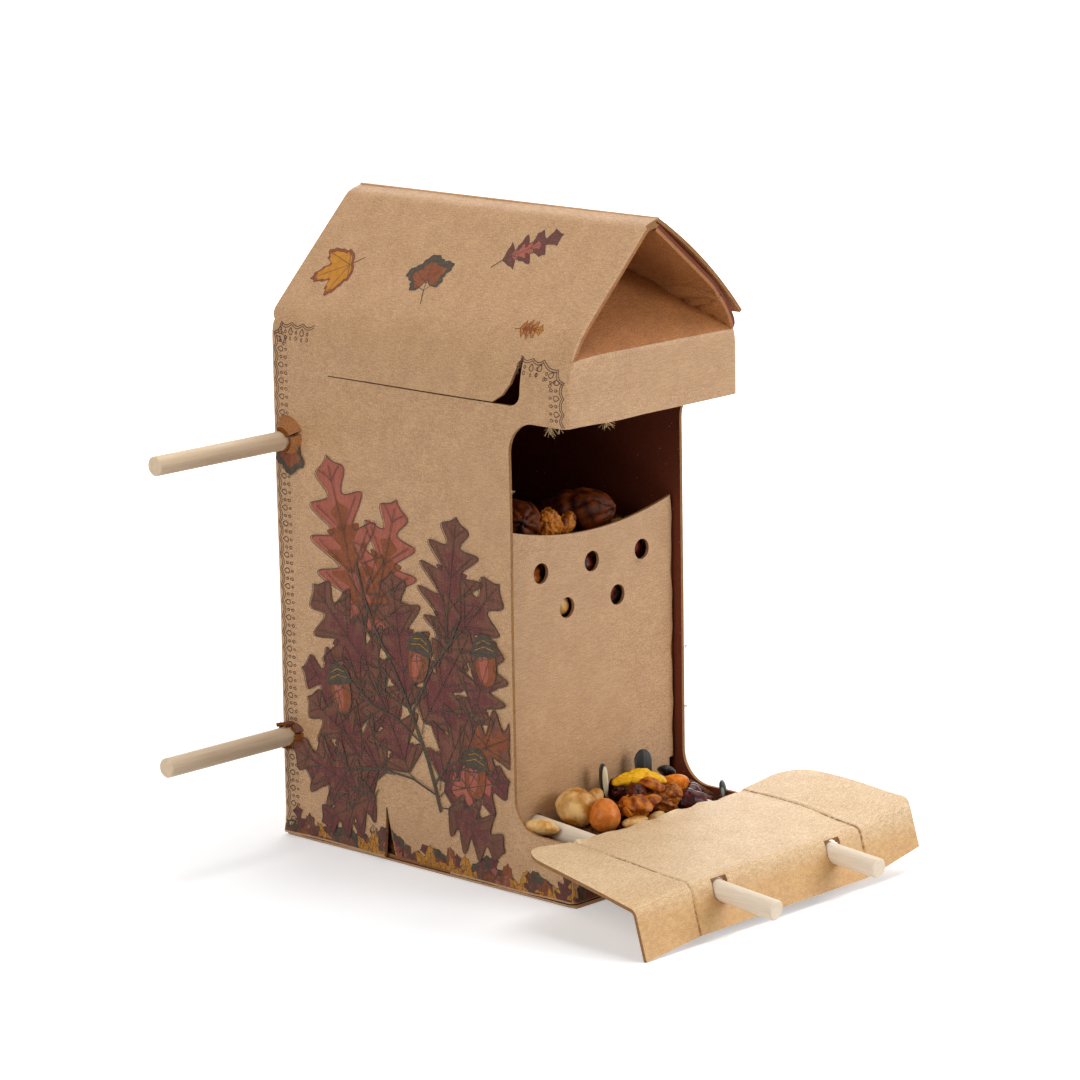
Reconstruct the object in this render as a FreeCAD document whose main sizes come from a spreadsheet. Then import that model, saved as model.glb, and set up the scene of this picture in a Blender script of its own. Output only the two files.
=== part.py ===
"""Squirrel feeder box, folded from micro-flute board, with four dowels and its feed.

Millimetres. The origin is the middle of the footprint on the surface that the feeder stands on.
+Z is up, the window and the landing face -Y, and +X is on the right of someone facing the window.
"""
import FreeCAD
import Part
import Sketcher
import math
import os

Vector = FreeCAD.Vector

# Driving dimensions: alias, value in millimetres (degrees where the words say so), what it is
DIMENSIONS = [
    ("board", 1.3, "thickness of the micro-flute board"),
    ("box_width", 90, "outside, across the window"),
    ("box_depth", 148, "outside, from the window to the back"),
    ("eave_height", 195, "where the walls fold into the roof"),
    ("ridge_up", 41.6, "left crease of the ridge strip, above the eave"),
    ("ridge_left", 3.3, "left ridge crease, from the middle"),
    ("ridge_right", 3.6, "right ridge crease, from the middle"),
    ("ridge_rise", 2, "how much higher the right ridge crease is than the left"),
    ("cover_overhang", 1.8, "how far the cover flap reaches past the right wall"),
    ("cover_edge_up", 5.4, "height of the cover flap's free edge above the eave"),
    ("cover_bow", 2.4, "how far the cover flap bows out of its chord"),
    ("cover_start", 0.4, "from the ridge crease to the board on each side of it"),
    ("knee_in", 8.6, "soft knee of the right slope, in from the right wall"),
    ("knee_up", 14.6, "soft knee of the right slope, above the eave"),
    ("slope_tuck", 0.3, "top of the right slope, below the left ridge crease"),
    ("gable_apex_in", 45, "how far the gable's point lies behind the front edge"),
    ("gable_apex_drop", 5, "how far the gable's point lies below the ridge"),
    ("header_height", 24, "board above the window"),
    ("window_bottom", 23.5, "lower edge of the window"),
    ("window_return", 27.6, "how far the window wraps onto the side walls"),
    ("window_radius", 12, "rounded corners of the window on the side walls"),
    ("slit_drop", 18.6, "die-cut slit in the left wall, below the eave"),
    ("slit_kerf", 0.8, "width of the die-cut slit"),
    ("slit_back", 43.5, "back end of the slit, behind the middle"),
    ("slit_front", 39.6, "front end of the straight slit, before the middle"),
    ("slit_radius", 5, "rounded front corner of the opening beside the tongue"),
    ("tongue_front", 51.6, "front end of the tongue, before the middle"),
    ("tongue_mid_in", 3.6, "middle of the tongue's curve, behind its front end"),
    ("tongue_mid_up", 7.9, "middle of the tongue's curve, above the slit"),
    ("tongue_low_in", 7.2, "lower point of the tongue's curve, behind its front end"),
    ("tongue_low_up", 3.6, "lower point of the tongue's curve, above the slit"),
    ("lock_height", 20.6, "upper edge of the lock tab at the foot of the left wall"),
    ("lock_front", 13.4, "front end of the lock tab, before the middle"),
    ("lock_back", 18.3, "back end of the lock tab, behind the middle"),
    ("lock_kerf", 0.5, "die-cut slit behind the lock tab"),
    ("tuck_height", 13, "upper edge of the bottom flap's tuck"),
    ("tuck_inset", 2.5, "sides of the tuck, in from the side walls"),
    ("flap_gap", 1.5, "from the middle to each inner bottom flap"),
    ("seam_width", 20, "width of the side seam's glue tab"),
    ("seam_margin", 6, "how far the seam tab stays from floor and eave"),
    ("chute_setback", 3.2, "front face of the chute panel, behind the window's edge"),
    ("chute_height", 130.6, "corners of the chute panel's upper edge"),
    ("chute_dip", 6.1, "how far the upper edge dips between its corners"),
    ("chute_gap", 1.2, "between the chute panel's edges and the side walls"),
    ("notch_height", 31.7, "where the side tabs of the chute panel end"),
    ("tab_length", 26, "side tabs of the chute panel, front to back"),
    ("tab_drop", 12.6, "upper edge of the side tabs, below the panel's corners"),
    ("vent_diameter", 7.5, "round holes in the chute panel"),
    ("vent_pitch", 26.3, "from one hole of the upper row to the next"),
    ("vent_drop", 17.6, "upper row, below the panel's corners"),
    ("vent_rows", 14.6, "from the upper row down to the lower"),
    ("outlet_height", 21, "upper edge of the feed outlet at the foot of the panel"),
    ("outlet_radius", 7, "upper corners of the feed outlet"),
    ("outlet_margin", 4.5, "board between the feed outlet and the dowels' holes"),
    ("dowel_diameter", 7.2, "all four dowels"),
    ("dowel_length", 200, "all four dowels"),
    ("dowel_chamfer", 0.5, "broken edge at the dowels' ends"),
    ("dowel_clearance", 0.35, "between a dowel and its hole, all round"),
    ("upper_dowel_drop", 44.1, "upper rear dowel, below the eave"),
    ("upper_dowel_gap", 3.8, "between the upper rear dowel and the back wall"),
    ("upper_dowel_reach", 65, "upper rear dowel, past the left wall"),
    ("lower_dowel_height", 39.4, "lower rear dowel"),
    ("lower_dowel_gap", 1.3, "between the lower rear dowel and the back wall"),
    ("lower_dowel_reach", 62.4, "lower rear dowel, past the left wall"),
    ("landing_slope", 4.8, "fall of the landing and its dowels, in degrees"),
    ("landing_length", 53, "from the crease to where the landing starts to bend"),
    ("bend_radius", 3.6, "outside radius of the bend between landing and lip"),
    ("lip_lean", 16.5, "how far the lip leans out of the vertical, in degrees"),
    ("lip_lift", 2.9, "lower edge of the lip, above the foot of the box"),
    ("left_wing_tilt", 2, "rise of the left wing, in degrees"),
    ("right_wing_tilt", 9.5, "rise of the right wing, in degrees"),
    ("landing_dowel_gap", 0.15, "between the landing and the dowels that carry it"),
    ("left_landing_across", 30.5, "left landing dowel, from the middle"),
    ("left_landing_reach", 81.7, "left landing dowel, past the front"),
    ("right_landing_across", 29.5, "right landing dowel, from the middle"),
    ("right_landing_reach", 77.2, "right landing dowel, past the front"),
    ("slot_back", 0.8, "how far the dowels' bores reach into the landing before its bend"),
    ("slot_open", 2.2, "where the slots open upwards, beyond the start of the bend"),
    ("feed_clearance", 0.5, "between the packed feed and what surrounds it"),
    ("hopper_drop", 7, "packed feed behind the chute panel, below the panel's corners"),
    ("hopper_fall", 12, "how much lower that feed is at the back"),
    ("hopper_gap", 3.2, "free space behind the chute panel"),
    ("tray_drop", 3, "packed feed at the window, below the window's edge"),
    ("tray_rise", 7, "how much higher that feed is towards the chute panel"),
    ("tray_gap", 4, "free space before the chute panel"),
]

# Derived sizes: alias, formula over the aliases above
DERIVED = [
    ("half_width", "box_width / 2"),
    ("half_depth", "box_depth / 2"),
    ("inner_half", "half_width - board"),
    ("inner_front", "half_depth - board"),
    ("floor_top", "2 * board"),
    ("window_edge", "half_depth - window_return"),
    ("window_top", "eave_height - header_height"),
    ("slit_height", "eave_height - slit_drop"),
    ("ridge_height", "eave_height + ridge_up"),
    ("ridge_top", "ridge_height + ridge_rise"),
    ("roof_run", "half_width - ridge_left"),
    ("roof_length", "sqrt(roof_run * roof_run + ridge_up * ridge_up)"),
    ("slope_inset", "board * ridge_up / roof_length"),
    ("slope_drop", "board * roof_run / roof_length"),
    ("slope_foot", "board * roof_length / ridge_up"),
    ("strip_run", "ridge_left + ridge_right"),
    ("strip_length", "sqrt(strip_run * strip_run + ridge_rise * ridge_rise)"),
    ("strip_back", "cover_start * strip_run / strip_length"),
    ("strip_down", "cover_start * ridge_rise / strip_length"),
    ("board_across", "board * strip_run / strip_length"),
    ("board_up", "board * ridge_rise / strip_length"),
    ("dowel_radius", "dowel_diameter / 2"),
    ("hole_radius", "dowel_radius + dowel_clearance"),
    ("upper_dowel_y", "inner_front - upper_dowel_gap - dowel_radius"),
    ("upper_dowel_height", "eave_height - upper_dowel_drop"),
    ("lower_dowel_y", "inner_front - lower_dowel_gap - dowel_radius"),
    ("seam_front", "inner_front - seam_width"),
    ("seam_top", "eave_height - seam_margin"),
    ("seam_foot", "floor_top + seam_margin"),
    ("chute_half", "inner_half - chute_gap"),
    ("chute_front", "window_edge - chute_setback"),
    ("chute_back", "chute_front - board"),
    ("dip_radius", "(chute_half * chute_half + chute_dip * chute_dip) / (2 * chute_dip)"),
    ("dip_centre", "chute_height - chute_dip + dip_radius"),
    ("tab_top", "chute_height - tab_drop"),
    ("half_pitch", "vent_pitch / 2"),
    ("vent_radius", "vent_diameter / 2"),
    ("vent_upper", "chute_height - vent_drop"),
    ("vent_lower", "vent_upper - vent_rows"),
    ("outlet_left", "left_landing_across - hole_radius - outlet_margin"),
    ("outlet_right", "right_landing_across - hole_radius - outlet_margin"),
    ("crease_height", "window_bottom + board / cos(landing_slope * 1 deg)"),
    ("dowel_depth", "board + landing_dowel_gap + dowel_radius"),
    ("landing_fall", "tan(landing_slope * 1 deg)"),
    ("dowel_front_height", "crease_height - dowel_depth / cos(landing_slope * 1 deg)"),
    ("dowel_chute_height", "dowel_front_height + (half_depth - chute_front) * landing_fall"),
    ("hopper_half", "inner_half - board - feed_clearance"),
    ("hopper_span", "2 * hopper_half"),
    ("hopper_front", "chute_back - hopper_gap"),
    ("hopper_back", "inner_front - feed_clearance"),
    ("hopper_top", "chute_height - hopper_drop"),
    ("hopper_back_top", "hopper_top - hopper_fall"),
    ("tray_half", "inner_half - feed_clearance"),
    ("tray_span", "2 * tray_half"),
    ("tray_front", "inner_front - board - feed_clearance"),
    ("tray_back", "chute_front + tray_gap"),
    ("tray_front_top", "window_bottom - tray_drop"),
    ("tray_top", "tray_front_top + tray_rise"),
]

NEAR = 0.02

doc = FreeCAD.newDocument("squirrel_feeder_box")
sheet = doc.addObject("Spreadsheet::Sheet", "Sizes")
pieces = []


def fill_sheet():
    """Write the driving and the derived sizes into the sheet."""
    row = 1
    for alias, number, words in DIMENSIONS:
        sheet.set("A%d" % row, str(number))
        sheet.set("B%d" % row, words)
        sheet.setAlias("A%d" % row, alias)
        row += 1
    for alias, formula in DERIVED:
        sheet.set("A%d" % row, "=" + formula)
        sheet.setAlias("A%d" % row, alias)
        row += 1
    doc.recompute()


fill_sheet()


def size(alias):
    """The number that a cell of the sheet holds."""
    return float(sheet.get(alias))


def amount(text):
    """Add up a sum of aliases and numbers, such as half_depth - board."""
    total = 0.0
    sign = 1.0
    for word in text.split():
        if word in "+-":
            sign = -1.0 if word == "-" else 1.0
        else:
            total += sign * (float(word) if word[0].isdigit() else size(word))
    return total


def bound(text):
    """The same sum as an expression that refers to the sheet."""
    words = [word if word in "+-" or word[0].isdigit() else "Sizes." + word for word in text.split()]
    return " ".join(["0"] + words if words[0] == "-" else words)


def bind(thing, **sums):
    """Bind properties of an object to sums over the sheet; a double underscore stands for a dot."""
    for name, text in sums.items():
        thing.setExpression(name.replace("__", "."), bound(text))


def keep(thing, label):
    """Name a finished sub-part and put it on the list of pieces."""
    thing.Label = label
    pieces.append(thing)
    return thing


# Flat board, cut from a sketch

def sketch_in(body, role, offset):
    """A sketch parallel to one of the body's own planes, at an offset along its normal."""
    sketch = body.newObject("Sketcher::SketchObject", body.Name + "_sketch")
    plane = [one for one in body.Origin.OriginFeatures if one.Role == role][0]
    sketch.AttachmentSupport = (plane, [""])
    sketch.MapMode = "FlatFace"
    bind(sketch, AttachmentOffset__Base__z=offset)
    return sketch


def pin_down(sketch, index, point, across, up):
    """Bind one point of a sketch to the sheet."""
    for kind, text in (("DistanceX", across), ("DistanceY", up)):
        number = sketch.addConstraint(Sketcher.Constraint(kind, -1, 1, index, point, amount(text)))
        sketch.setExpression("Constraints[%d]" % number, bound(text))


def outline(sketch, corners):
    """A closed outline whose corners are bound to the sheet."""
    points = [Vector(amount(across), amount(up), 0) for across, up in corners]
    count = len(points)
    first = sketch.GeometryCount
    for index in range(count):
        sketch.addGeometry(Part.LineSegment(points[index], points[(index + 1) % count]))
    for index in range(count):
        following = first + (index + 1) % count
        sketch.addConstraint(Sketcher.Constraint("Coincident", first + index, 2, following, 1))
    for index, (across, up) in enumerate(corners):
        pin_down(sketch, first + index, 1, across, up)


def ring(sketch, across, up, radius):
    """A circle whose centre and radius are bound to the sheet."""
    centre = Vector(amount(across), amount(up), 0)
    index = sketch.addGeometry(Part.Circle(centre, Vector(0, 0, 1), amount(radius)))
    pin_down(sketch, index, 3, across, up)
    number = sketch.addConstraint(Sketcher.Constraint("Radius", index, amount(radius)))
    sketch.setExpression("Constraints[%d]" % number, bound(radius))


def plate(label, role, offset, corners, thickness="board"):
    """A body padded from one outline along its plane's normal."""
    body = doc.addObject("PartDesign::Body", label + "_body")
    sketch = sketch_in(body, role, offset)
    outline(sketch, corners)
    pad = body.newObject("PartDesign::Pad", label + "_pad")
    pad.Profile = sketch
    bind(pad, Length=thickness)
    doc.recompute()
    return keep(body, label)


def punch(body, role, offset, draw):
    """Cut what draw puts into a sketch right through the body, both ways from the sketch's plane."""
    before = body.Shape.Volume
    sketch = sketch_in(body, role, offset)
    draw(sketch)
    pocket = body.newObject("PartDesign::Pocket", body.Name + "_cut")
    pocket.Profile = sketch
    pocket.Type = "ThroughAll"
    pocket.SideType = "Symmetric"
    doc.recompute()
    if body.Shape.Volume >= before:
        raise ValueError(body.Label + ": a cut took nothing away")


def round_off(body, radius, places):
    """Round the edges across the board that stand at the given places, a list of two sums each."""
    last = body.Tip
    wanted = [(amount(first), amount(second)) for first, second in places]
    names = []
    for index, edge in enumerate(last.Shape.Edges, 1):
        middle = edge.CenterOfMass
        spot = (middle.x if abs(edge.tangentAt(edge.FirstParameter).y) > 0.5 else middle.y, middle.z)
        across = edge.Curve.TypeId == "Part::GeomLine" and abs(edge.tangentAt(edge.FirstParameter).z) < 0.5
        if across and any(math.dist(spot, place) < NEAR for place in wanted):
            names.append("Edge%d" % index)
    fillet = body.newObject("PartDesign::Fillet", body.Name + "_fillet")
    fillet.Base = (last, names)
    bind(fillet, Radius=radius)
    doc.recompute()


def slot_holes(body, role, offset, holes):
    """Punch round holes, a list of three sums each: across, up and radius."""
    def draw(sketch):
        for across, up, radius in holes:
            ring(sketch, across, up, radius)
    punch(body, role, offset, draw)


def rectangle(left, right, low, high):
    """The four corners of a rectangle."""
    return [(left, low), (right, low), (right, high), (left, high)]


# Bottom: an outer flap that carries the walls, two inner flaps and the outer flap's tuck

def make_bottom():
    """The flaps that close the foot of the box."""
    plate("bottom_outer_flap", "XY_Plane", "0",
          rectangle("- half_width", "half_width", "- half_depth", "half_depth"))
    inner_front = "board - inner_front"
    plate("bottom_left_flap", "XY_Plane", "board",
          rectangle("- inner_half", "- flap_gap", inner_front, "inner_front"))
    plate("bottom_right_flap", "XY_Plane", "board",
          rectangle("flap_gap", "inner_half", inner_front, "inner_front"))
    plate("bottom_tuck_flap", "XZ_Plane", "inner_front - board",
          rectangle("tuck_inset - inner_half", "inner_half - tuck_inset", "board", "tuck_height"))


# Walls

def cut_window(wall, offset):
    """The part of the window that wraps onto a side wall, with its two rounded corners."""
    def draw(sketch):
        outline(sketch, rectangle("- half_depth - board", "- window_edge", "window_bottom", "window_top"))
    punch(wall, "YZ_Plane", offset, draw)
    round_off(wall, "window_radius", [("- window_edge", "window_bottom"), ("- window_edge", "window_top")])


def rear_holes(body, offset):
    """The holes that the two rear dowels pass."""
    slot_holes(body, "YZ_Plane", offset, [
        ("upper_dowel_y", "upper_dowel_height", "hole_radius"),
        ("lower_dowel_y", "lower_dowel_height", "hole_radius"),
    ])


def make_side_walls():
    """Both side walls, the tongue below the left eave and the lock tab at the left foot."""
    side = rectangle("- half_depth", "half_depth", "board", "eave_height")
    right = plate("right_wall", "YZ_Plane", "inner_half", side)
    cut_window(right, "inner_half")
    rear_holes(right, "inner_half")

    left = plate("left_wall", "YZ_Plane", "- half_width", side)
    cut_window(left, "- half_width")
    rear_holes(left, "- half_width")

    def draw_tongue_opening(sketch):
        front = "- tongue_front - slit_kerf"
        outline(sketch, rectangle(front, "slit_back", "slit_height", "eave_height + board"))
    punch(left, "YZ_Plane", "- half_width", draw_tongue_opening)
    round_off(left, "slit_radius", [("- tongue_front - slit_kerf", "slit_height")])

    def draw_lock_opening(sketch):
        outline(sketch, rectangle("- lock_front", "lock_back + lock_kerf", "0", "lock_height"))
    punch(left, "YZ_Plane", "- half_width", draw_lock_opening)

    plate("eave_tongue", "YZ_Plane", "- half_width", [
        ("slit_back", "slit_height + slit_kerf"),
        ("slit_back", "eave_height"),
        ("- tongue_front", "eave_height"),
        ("tongue_mid_in - tongue_front", "slit_height + tongue_mid_up"),
        ("tongue_low_in - tongue_front", "slit_height + tongue_low_up"),
        ("- slit_front", "slit_height + slit_kerf"),
    ])
    plate("bottom_lock_tab", "YZ_Plane", "- half_width",
          rectangle("- lock_front", "lock_back", "board", "lock_height"))


def make_front_and_back():
    """The back wall, the header above the window, the low wall below it, and the side seam."""
    plate("back_wall", "XZ_Plane", "- half_depth",
          rectangle("- inner_half", "inner_half", "board", "eave_height"))
    plate("front_header", "XZ_Plane", "inner_front",
          rectangle("- inner_half", "inner_half", "window_top", "eave_height"))
    low = plate("front_low_wall", "XZ_Plane", "inner_front",
                rectangle("- inner_half", "inner_half", "board", "window_bottom"))
    for across in ("0 - left_landing_across", "right_landing_across"):
        def draw_notch(sketch):
            outline(sketch, rectangle(across + " - hole_radius", across + " + hole_radius",
                                      "dowel_front_height", "window_bottom + board"))
        punch(low, "XZ_Plane", "inner_front", draw_notch)
        slot_holes(low, "XZ_Plane", "inner_front", [(across, "dowel_front_height", "hole_radius")])
    seam = plate("side_seam_tab", "YZ_Plane", "inner_half - board",
                 rectangle("seam_front", "inner_front", "seam_foot", "seam_top"))
    rear_holes(seam, "inner_half - board")


# Hopper insert

def make_chute():
    """The chute panel with its vents, its outlet and the holes for the landing dowels, and its side tabs."""
    chute = plate("chute_panel", "XZ_Plane", "chute_back", [
        ("- chute_half", "chute_height"),
        ("- chute_half", "notch_height"),
        ("board - chute_half", "notch_height"),
        ("board - chute_half", "floor_top"),
        ("- outlet_left", "floor_top"),
        ("- outlet_left", "outlet_height"),
        ("outlet_right", "outlet_height"),
        ("outlet_right", "floor_top"),
        ("chute_half - board", "floor_top"),
        ("chute_half - board", "notch_height"),
        ("chute_half", "notch_height"),
        ("chute_half", "chute_height"),
    ])
    outlet_corners = [("- outlet_left", "outlet_height"), ("outlet_right", "outlet_height")]
    round_off(chute, "outlet_radius", outlet_corners)
    slot_holes(chute, "XZ_Plane", "chute_back", [("0", "dip_centre", "dip_radius")])
    slot_holes(chute, "XZ_Plane", "chute_back", [
        ("- vent_pitch", "vent_upper", "vent_radius"),
        ("0", "vent_upper", "vent_radius"),
        ("vent_pitch", "vent_upper", "vent_radius"),
        ("- half_pitch", "vent_lower", "vent_radius"),
        ("half_pitch", "vent_lower", "vent_radius"),
        ("- left_landing_across", "dowel_chute_height", "hole_radius"),
        ("right_landing_across", "dowel_chute_height", "hole_radius"),
    ])
    tab = rectangle("- chute_back", "tab_length - chute_back", "notch_height", "tab_top")
    plate("chute_left_tab", "YZ_Plane", "- inner_half", tab)
    plate("chute_right_tab", "YZ_Plane", "inner_half - board", tab)


# Roof

def feature(label, shape):
    """A sub-part whose shape comes straight from its geometry."""
    thing = doc.addObject("Part::Feature", label + "_shape")
    thing.Shape = shape
    return keep(thing, label)


def beside(line, distance):
    """Points that follow a line of XZ points at a distance on its right-hand side, with mitred corners."""
    steps = [(line[index + 1] - line[index]).normalize() for index in range(len(line) - 1)]
    normals = [Vector(step.z, 0, -step.x) for step in steps]
    points = [line[0] + normals[0] * distance]
    for index in range(1, len(line) - 1):
        middle = (normals[index - 1] + normals[index]).normalize()
        points.append(line[index] + middle * (distance / middle.dot(normals[index])))
    points.append(line[-1] + normals[-1] * distance)
    return points


def along_box(points):
    """A prism of XZ points over the whole depth of the box."""
    depth = size("box_depth")
    ring_points = [Vector(point.x, -depth / 2, point.z) for point in points]
    face = Part.Face(Part.makePolygon(ring_points + ring_points[:1]))
    return face.extrude(Vector(0, depth, 0))


def right_slope_line():
    """Outer face of the right slope: top, soft knee, eave."""
    half = size("half_width")
    eave = size("eave_height")
    return [
        Vector(size("ridge_right"), 0, size("ridge_height") - size("slope_tuck")),
        Vector(half - size("knee_in"), 0, eave + size("knee_up")),
        Vector(half, 0, eave),
    ]


def make_roof():
    """The left slope and ridge strip, the right slope with its inner flap, and the loose cover flap."""
    slope_top = ("slope_inset - ridge_left", "ridge_height - slope_drop")
    plate("roof_left_slope", "XZ_Plane", "- half_depth", [
        ("- half_width", "eave_height"),
        ("- ridge_left", "ridge_height"),
        slope_top,
        ("slope_foot - half_width", "eave_height"),
    ], "box_depth")
    strip_low = ("ridge_right - strip_back - board_across + board_up",
                 "ridge_top - strip_down - board_up - board_across")
    plate("roof_ridge_strip", "XZ_Plane", "- half_depth", [
        ("- ridge_left", "ridge_height"),
        ("ridge_right - strip_back", "ridge_top - strip_down"),
        strip_low,
        slope_top,
    ], "box_depth")

    board = size("board")
    outer = right_slope_line()
    inner = beside(outer, board)
    steepness = (inner[-2].z - inner[-1].z) / (inner[-1].x - inner[-2].x)
    inner[-1] = Vector(inner[-2].x + (inner[-2].z - outer[-1].z) / steepness, 0, outer[-1].z)
    feature("roof_right_slope", along_box(outer + inner[::-1]))

    left_end, right_end = [Vector(amount(across), 0, amount(up)) for across, up in (slope_top, strip_low)]
    feature("ridge_inner_flap", along_box([
        left_end, right_end, outer[0], inner[0], left_end - Vector(0, 0, board),
    ]).cut(pieces_named("roof_left_slope")[0]))
    make_cover_flap()


def pieces_named(*labels):
    """The shapes of pieces made so far, by their names."""
    shapes = {piece.Label: piece.Shape for piece in pieces}
    return [shapes[label] for label in labels]


def make_cover_flap():
    """The loose flap over the right slope: one board bent to an arc, hinged at the right ridge crease."""
    board = size("board")
    crease = Vector(size("ridge_right"), 0, size("ridge_top"))
    edge = Vector(amount("half_width + cover_overhang"), 0, amount("eave_height + cover_edge_up"))
    chord = edge - crease
    outward = Vector(-chord.z, 0, chord.x).normalize()
    bow = size("cover_bow")
    radius = (chord.Length ** 2 / 4 + bow ** 2) / (2 * bow)
    centre = crease + chord * 0.5 - outward * (radius - bow)
    whole = 2 * math.asin(chord.Length / 2 / radius)
    skipped = size("cover_start") / radius

    def on_arc(share, distance):
        spoke = crease - centre
        turn = FreeCAD.Rotation(Vector(0, 1, 0), math.degrees(skipped + share * (whole - skipped)))
        return centre + turn.multVec(spoke).normalize() * distance

    rim = [Part.Arc(*[on_arc(share, distance) for share in shares]).toShape()
           for shares, distance in (((0, 0.5, 1), radius), ((1, 0.5, 0), radius - board))]
    ends = [Part.makeLine(on_arc(1, radius), on_arc(1, radius - board)),
            Part.makeLine(on_arc(0, radius - board), on_arc(0, radius))]
    wire = Part.Wire([rim[0], ends[0], rim[1], ends[1]])
    depth = size("box_depth")
    wire.translate(Vector(0, -depth / 2, 0))
    feature("roof_cover_flap", Part.Face(wire).extrude(Vector(0, depth, 0)))


def leaf(corners, towards):
    """A triangle of board: its three corners, thickened towards a point."""
    face = Part.Face(Part.makePolygon(corners + corners[:1]))
    normal = (corners[1] - corners[0]).cross(corners[2] - corners[0]).normalize()
    if normal.dot(towards - corners[0]) < 0:
        normal = -normal
    return face.extrude(normal * size("board"))


def main_solid(shape):
    """The largest solid of a shape, without the crumbs that trimming leaves at its corners."""
    return max(shape.Solids, key=lambda solid: solid.Volume)


def make_gables():
    """The gable panel that leans in at each end, and the gussets that fold back under the slopes."""
    half = size("half_width")
    depth = size("half_depth")
    eave = size("eave_height")
    apex = Vector(0, size("gable_apex_in") - depth, amount("ridge_height - gable_apex_drop"))
    inside = Vector(0, 0, eave)
    recess = Vector(0, -depth, eave)
    above = Part.makeBox(2 * half, 2 * depth, size("ridge_top"), Vector(-half, -depth, eave))
    left_slope, right_slope, inner_flap = pieces_named("roof_left_slope", "roof_right_slope",
                                                       "ridge_inner_flap")

    panel = leaf([Vector(-half, -depth, eave), Vector(half, -depth, eave), apex], inside)
    panel = main_solid(panel.common(above).cut(left_slope).cut(right_slope))

    left_foot = Vector(amount("slope_foot - half_width"), -depth, eave)
    left_top = Vector(amount("slope_inset - ridge_left"), -depth, amount("ridge_height - slope_drop"))
    left = leaf([left_foot, left_top, apex], recess).common(above)
    left = main_solid(left.cut(panel).cut(inner_flap))

    line = beside(right_slope_line(), size("board"))
    top, knee, foot = [Vector(point.x, -depth, point.z) for point in line]
    right = leaf([top, knee, apex], recess).fuse(leaf([knee, foot, apex], recess)).common(above)
    for other in (panel, left, inner_flap, right_slope):
        right = right.cut(other)
    right = main_solid(right)

    for label, shape in (("gable_panel", panel), ("left_gusset", left), ("right_gusset", right)):
        front = feature("front_" + label, shape)
        rear = doc.addObject("Part::Mirroring", "rear_" + label + "_mirror")
        rear.Source = front
        rear.Normal = Vector(0, 1, 0)
        keep(rear, "rear_" + label)


# Landing: one board that bends down into a lip, with a wing on each side

def landing_path():
    """Corners of the landing's section in YZ: upper and lower face of the deck, the bend and the lip."""
    slope = math.radians(size("landing_slope"))
    lean = math.radians(size("lip_lean"))
    bend = size("bend_radius")
    deck_way = Vector(0, -math.cos(slope), -math.sin(slope))
    deck_down = Vector(0, math.sin(slope), -math.cos(slope))
    lip_way = Vector(0, -math.sin(lean), -math.cos(lean))
    lip_in = Vector(0, math.cos(lean), -math.sin(lean))
    crease = Vector(0, -size("half_depth"), size("crease_height"))
    bend_start = crease + deck_way * size("landing_length")
    centre = bend_start + deck_down * bend
    middle = (deck_down + lip_in).normalize()
    lip_start = centre - lip_in * bend
    lip_end = lip_start + lip_way * ((lip_start.z - size("lip_lift")) / math.cos(lean))
    return {
        "deck": (crease, bend_start, deck_down),
        "bend": (centre, middle),
        "lip": (lip_start, lip_end, lip_in),
    }


def landing_section(name):
    """The face of the deck with its bend, or of the straight lip, in the plane of the left crease."""
    board = size("board")
    bend = size("bend_radius")
    path = landing_path()
    if name == "lip":
        start, end, inward = path["lip"]
        corners = [start, end, end + inward * board, start + inward * board]
        return Part.Face(Part.makePolygon(corners + corners[:1]))
    crease, bend_start, down = path["deck"]
    centre, middle = path["bend"]
    lip_start, lip_end, inward = path["lip"]
    edges = [
        Part.makeLine(crease, bend_start),
        Part.Arc(bend_start, centre - middle * bend, lip_start).toShape(),
        Part.makeLine(lip_start, lip_start + inward * board),
        Part.Arc(lip_start + inward * board, centre - middle * (bend - board),
                 bend_start + down * board).toShape(),
        Part.makeLine(bend_start + down * board, crease + down * board),
        Part.makeLine(crease + down * board, crease),
    ]
    return Part.Face(Part.Wire(edges))


def dowel_slot(across):
    """What a landing dowel's slot takes out of the bend: round below, open above."""
    radius = size("hole_radius")
    crease, bend_start, down = landing_path()["deck"]
    way = (bend_start - crease).normalize()
    start = bend_start - way * size("slot_back") + down * size("dowel_depth")
    start.x = across
    length = size("bend_radius") + size("window_bottom")
    open_length = length - size("slot_back") - size("slot_open")
    bore = Part.makeCylinder(radius, length, start, way)
    open_top = Part.makeBox(2 * radius, open_length, size("dowel_depth") + size("board"))
    turn = FreeCAD.Rotation(Vector(1, 0, 0), size("landing_slope"))
    corner = start + way * length - Vector(radius, 0, 0)
    open_top.Placement = FreeCAD.Placement(corner, turn)
    return bore.fuse(open_top)


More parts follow.
